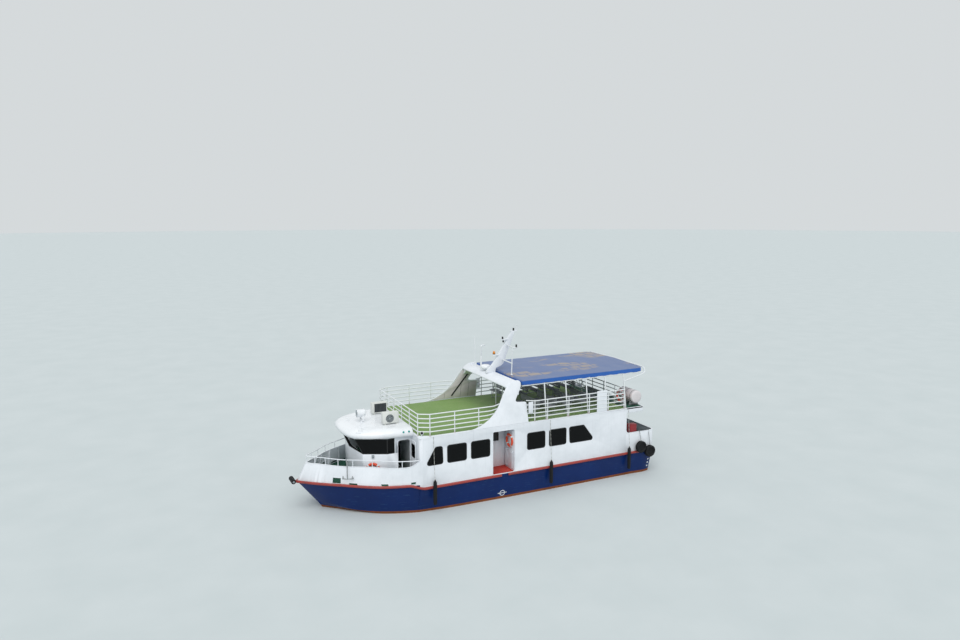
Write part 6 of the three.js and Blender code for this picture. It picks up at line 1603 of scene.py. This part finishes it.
# The grey inboard sheet is painted shade on the white plate.
run(bm, [(x, y, 0.0) for x, y in round_stern], [(-0.022, 1.3415), (-0.022, 2.39), (-0.03, 2.39), (-0.03, 1.3415)])
for side in (1, -1):
    for x in (-8.5, -9.0, -9.5):
        slab(bm, (x - 0.006, x + 0.006), (side * 3.06, side * 3.122), (1.3415, 2.4))
piece("aft_bulwark_shade_sheet", bm, grey_enamel, "aft_bulwark", bevel=0.002, angle=50, segments=1)

# Stair: two grey channel strings with chequered treads and a bent handrail each side, up through the notch.
bm = bmesh.new()
for side in (1, -1):
    y = -2.6 + side * 0.33
    y0, y1 = y - 0.018, y + 0.018
    plate(bm, [(-9.78, ON_MAIN_DECK), (-9.61, ON_MAIN_DECK), (-8.53, 3.84), (-8.7, 3.84)], "y", y0, y1)
    pipes(bm, [[(-9.66, y, 1.5), (-9.66, y, 2.2), (-8.74, y, 4.3), (-8.58, y, 4.3), (-8.58, y, 3.84)]], 0.018,
          corner=0.16)
for i in range(9):
    t = (i + 1) / 9.6
    x, z = -9.78 + 1.08 * t, 1.34 + 2.51 * t
    slab(bm, (x - 0.01, x + 0.2), (-2.93, -2.27), (z + 0.007, z + 0.015))
    slab(bm, (x + 0.194, x + 0.2), (-2.93, -2.27), (z - 0.015, z + 0.012))
    slab(bm, (x - 0.01, x - 0.004), (-2.93, -2.27), (z - 0.015, z + 0.012))
piece("stair_strings", bm, grey_enamel, "stair", bevel=0.003, angle=50, segments=1)

# Tyre fenders on the quarters: worn car tyres plugged with a rubber web, slung on chain from eyes on the bulwark.
bm, chain = bmesh.new(), bmesh.new()
tread = [(0.1, -0.03), (0.2, -0.045), (0.215, -0.085), (0.235, -0.1), (0.275, -0.103), (0.305, -0.092),
         (0.32, -0.075)]
for k in range(8):
    y = -0.075 + 0.15 * (k + 0.5) / 8
    tread += [(0.325, y - 0.007), (0.325, y + 0.004), (0.317, y + 0.006), (0.317, y + 0.0085)]
tread += [(0.32, 0.075), (0.305, 0.092), (0.275, 0.103), (0.235, 0.1), (0.215, 0.085), (0.2, 0.045), (0.1, 0.03)]
hung = []
for x, z in ((-8.98, 1.6), (-9.6, 1.28)):
    turned(bm, [(0.0, -0.03)] + tread + [(0.0, 0.03)], (x, 3.3453, z), axis="y", steps=64)
    top = Vector((x, 3.172, 2.447))
    eye = Vector((x, 3.3453, z + 0.305))
    hung.append((top, eye))
for side in (1, -1):
    for top, eye in hung:
        count = round((top - eye).length / 0.062)
        for k in range(count):
            mid = eye.lerp(top, (k + 0.5) / count)
            up = (top - eye).normalized() * 0.042
            out = Vector((1, 0, 0)) if k % 2 else Vector((0, 1, 0))
            wide = (out - up.normalized() * out.dot(up.normalized())) * 0.016
            oval = [mid + up * math.cos(a) + wide * math.sin(a) for a in around(10)]
            pipes(chain, [[Vector((p.x, side * p.y, p.z)) for p in oval]], 0.0065, smooth=1)
        pipes(chain, [[Vector((top.x, side * 3.17, 2.445)), Vector((top.x, side * 3.1, 2.445))]], 0.014)
        turned(chain, [(0.0, 0.0), (0.03, 0.0), (0.03, 0.01), (0.0, 0.014)], Vector((top.x, side * 3.112, 2.431)),
               steps=20)
both_sides(bm)
for name, side in SIDES:
    for source, label, finish, slot in ((bm, "tyres", rubber, "rubber"), (chain, "tyre_chains", galvanised, "steel")):
        half = source.copy()
        bmesh.ops.delete(half, geom=[v for v in half.verts if v.co.y * side < 0], context="VERTS")
        piece(f"{label}_{name}", half, finish, "tyre_fenders_" + name, angle=40)
bm.free()
chain.free()

# Marks: a plain load-line ring with its bar amidships, and three plain draught squares on each quarter, painted in
# white on the hull.
mark_white = painted("white_mark_paint", "#dfe3e6", "#b7bcc2", rough=0.4, streaks=0.2, plate_wave=0.001)
hull_mesh = bpy.data.objects["hull_plating"]


def on_hull(x, z, side):
    """Where the hull's skin is, looked at square from one side, and 2 mm off it."""
    _, place, normal, _ = hull_mesh.ray_cast(Vector((x, side * 6.0, z)), Vector((0, -side, 0)))
    return place + normal * 0.002


bm = bmesh.new()
for side in (1, -1):
    skin(bm, [[on_hull(-0.46 + r * math.cos(a), 0.3 + r * math.sin(a), side) for r in (0.15, 0.115)]
              for a in around(32)], closed=False, caps=False)
    for x0, x1, z0, z1 in ((-0.71, -0.21, 0.285, 0.32), (-9.75, -9.65, 0.68, 0.76),
                           (-9.74, -9.64, 0.48, 0.56), (-9.73, -9.63, 0.28, 0.36)):
        skin(bm, [[on_hull(x, z, side) for z in (z0, (z0 + z1) / 2, z1)] for x in (x0, (x0 + x1) / 2, x1)],
             closed=False, caps=False)
piece("hull_marks", bm, mark_white, "hull", angle=180)

# A red locker hangs inside the port quarter's bulwark and stands a little above it.
locker_red = painted("red_locker_enamel", "#8f1f27", "#63262a", rough=0.42, streaks=0.25, plate_wave=0.001)
bm = bmesh.new()
slab(bm, (-8.86, -8.44), (2.72, 3.05), (2.06, 2.8))
slab(bm, (-8.87, -8.43), (2.7, 3.055), (2.8, 2.84))
slab(bm, (-8.83, -8.47), (2.712, 2.722), (2.1, 2.77))
turned(bm, [(0.0, 0.0), (0.02, 0.0), (0.02, 0.012), (0.0, 0.015)], (-8.52, 2.712, 2.42), axis=(0, -1, 0), steps=16)
piece("quarter_locker", bm, locker_red, "aft_bulwark", bevel=0.008, angle=50)

# Blue enamel is carried up over the foot of the side at the boarding break in the strake.
bm = bmesh.new()
for side in (1, -1):
    slab(bm, (-0.745, -0.345), (side * 3.146, side * 3.153), (1.2, 1.352))
piece("boarding_break_paint", bm, hull_finish, "cabin_side_port", bevel=0.002, angle=50, segments=1)
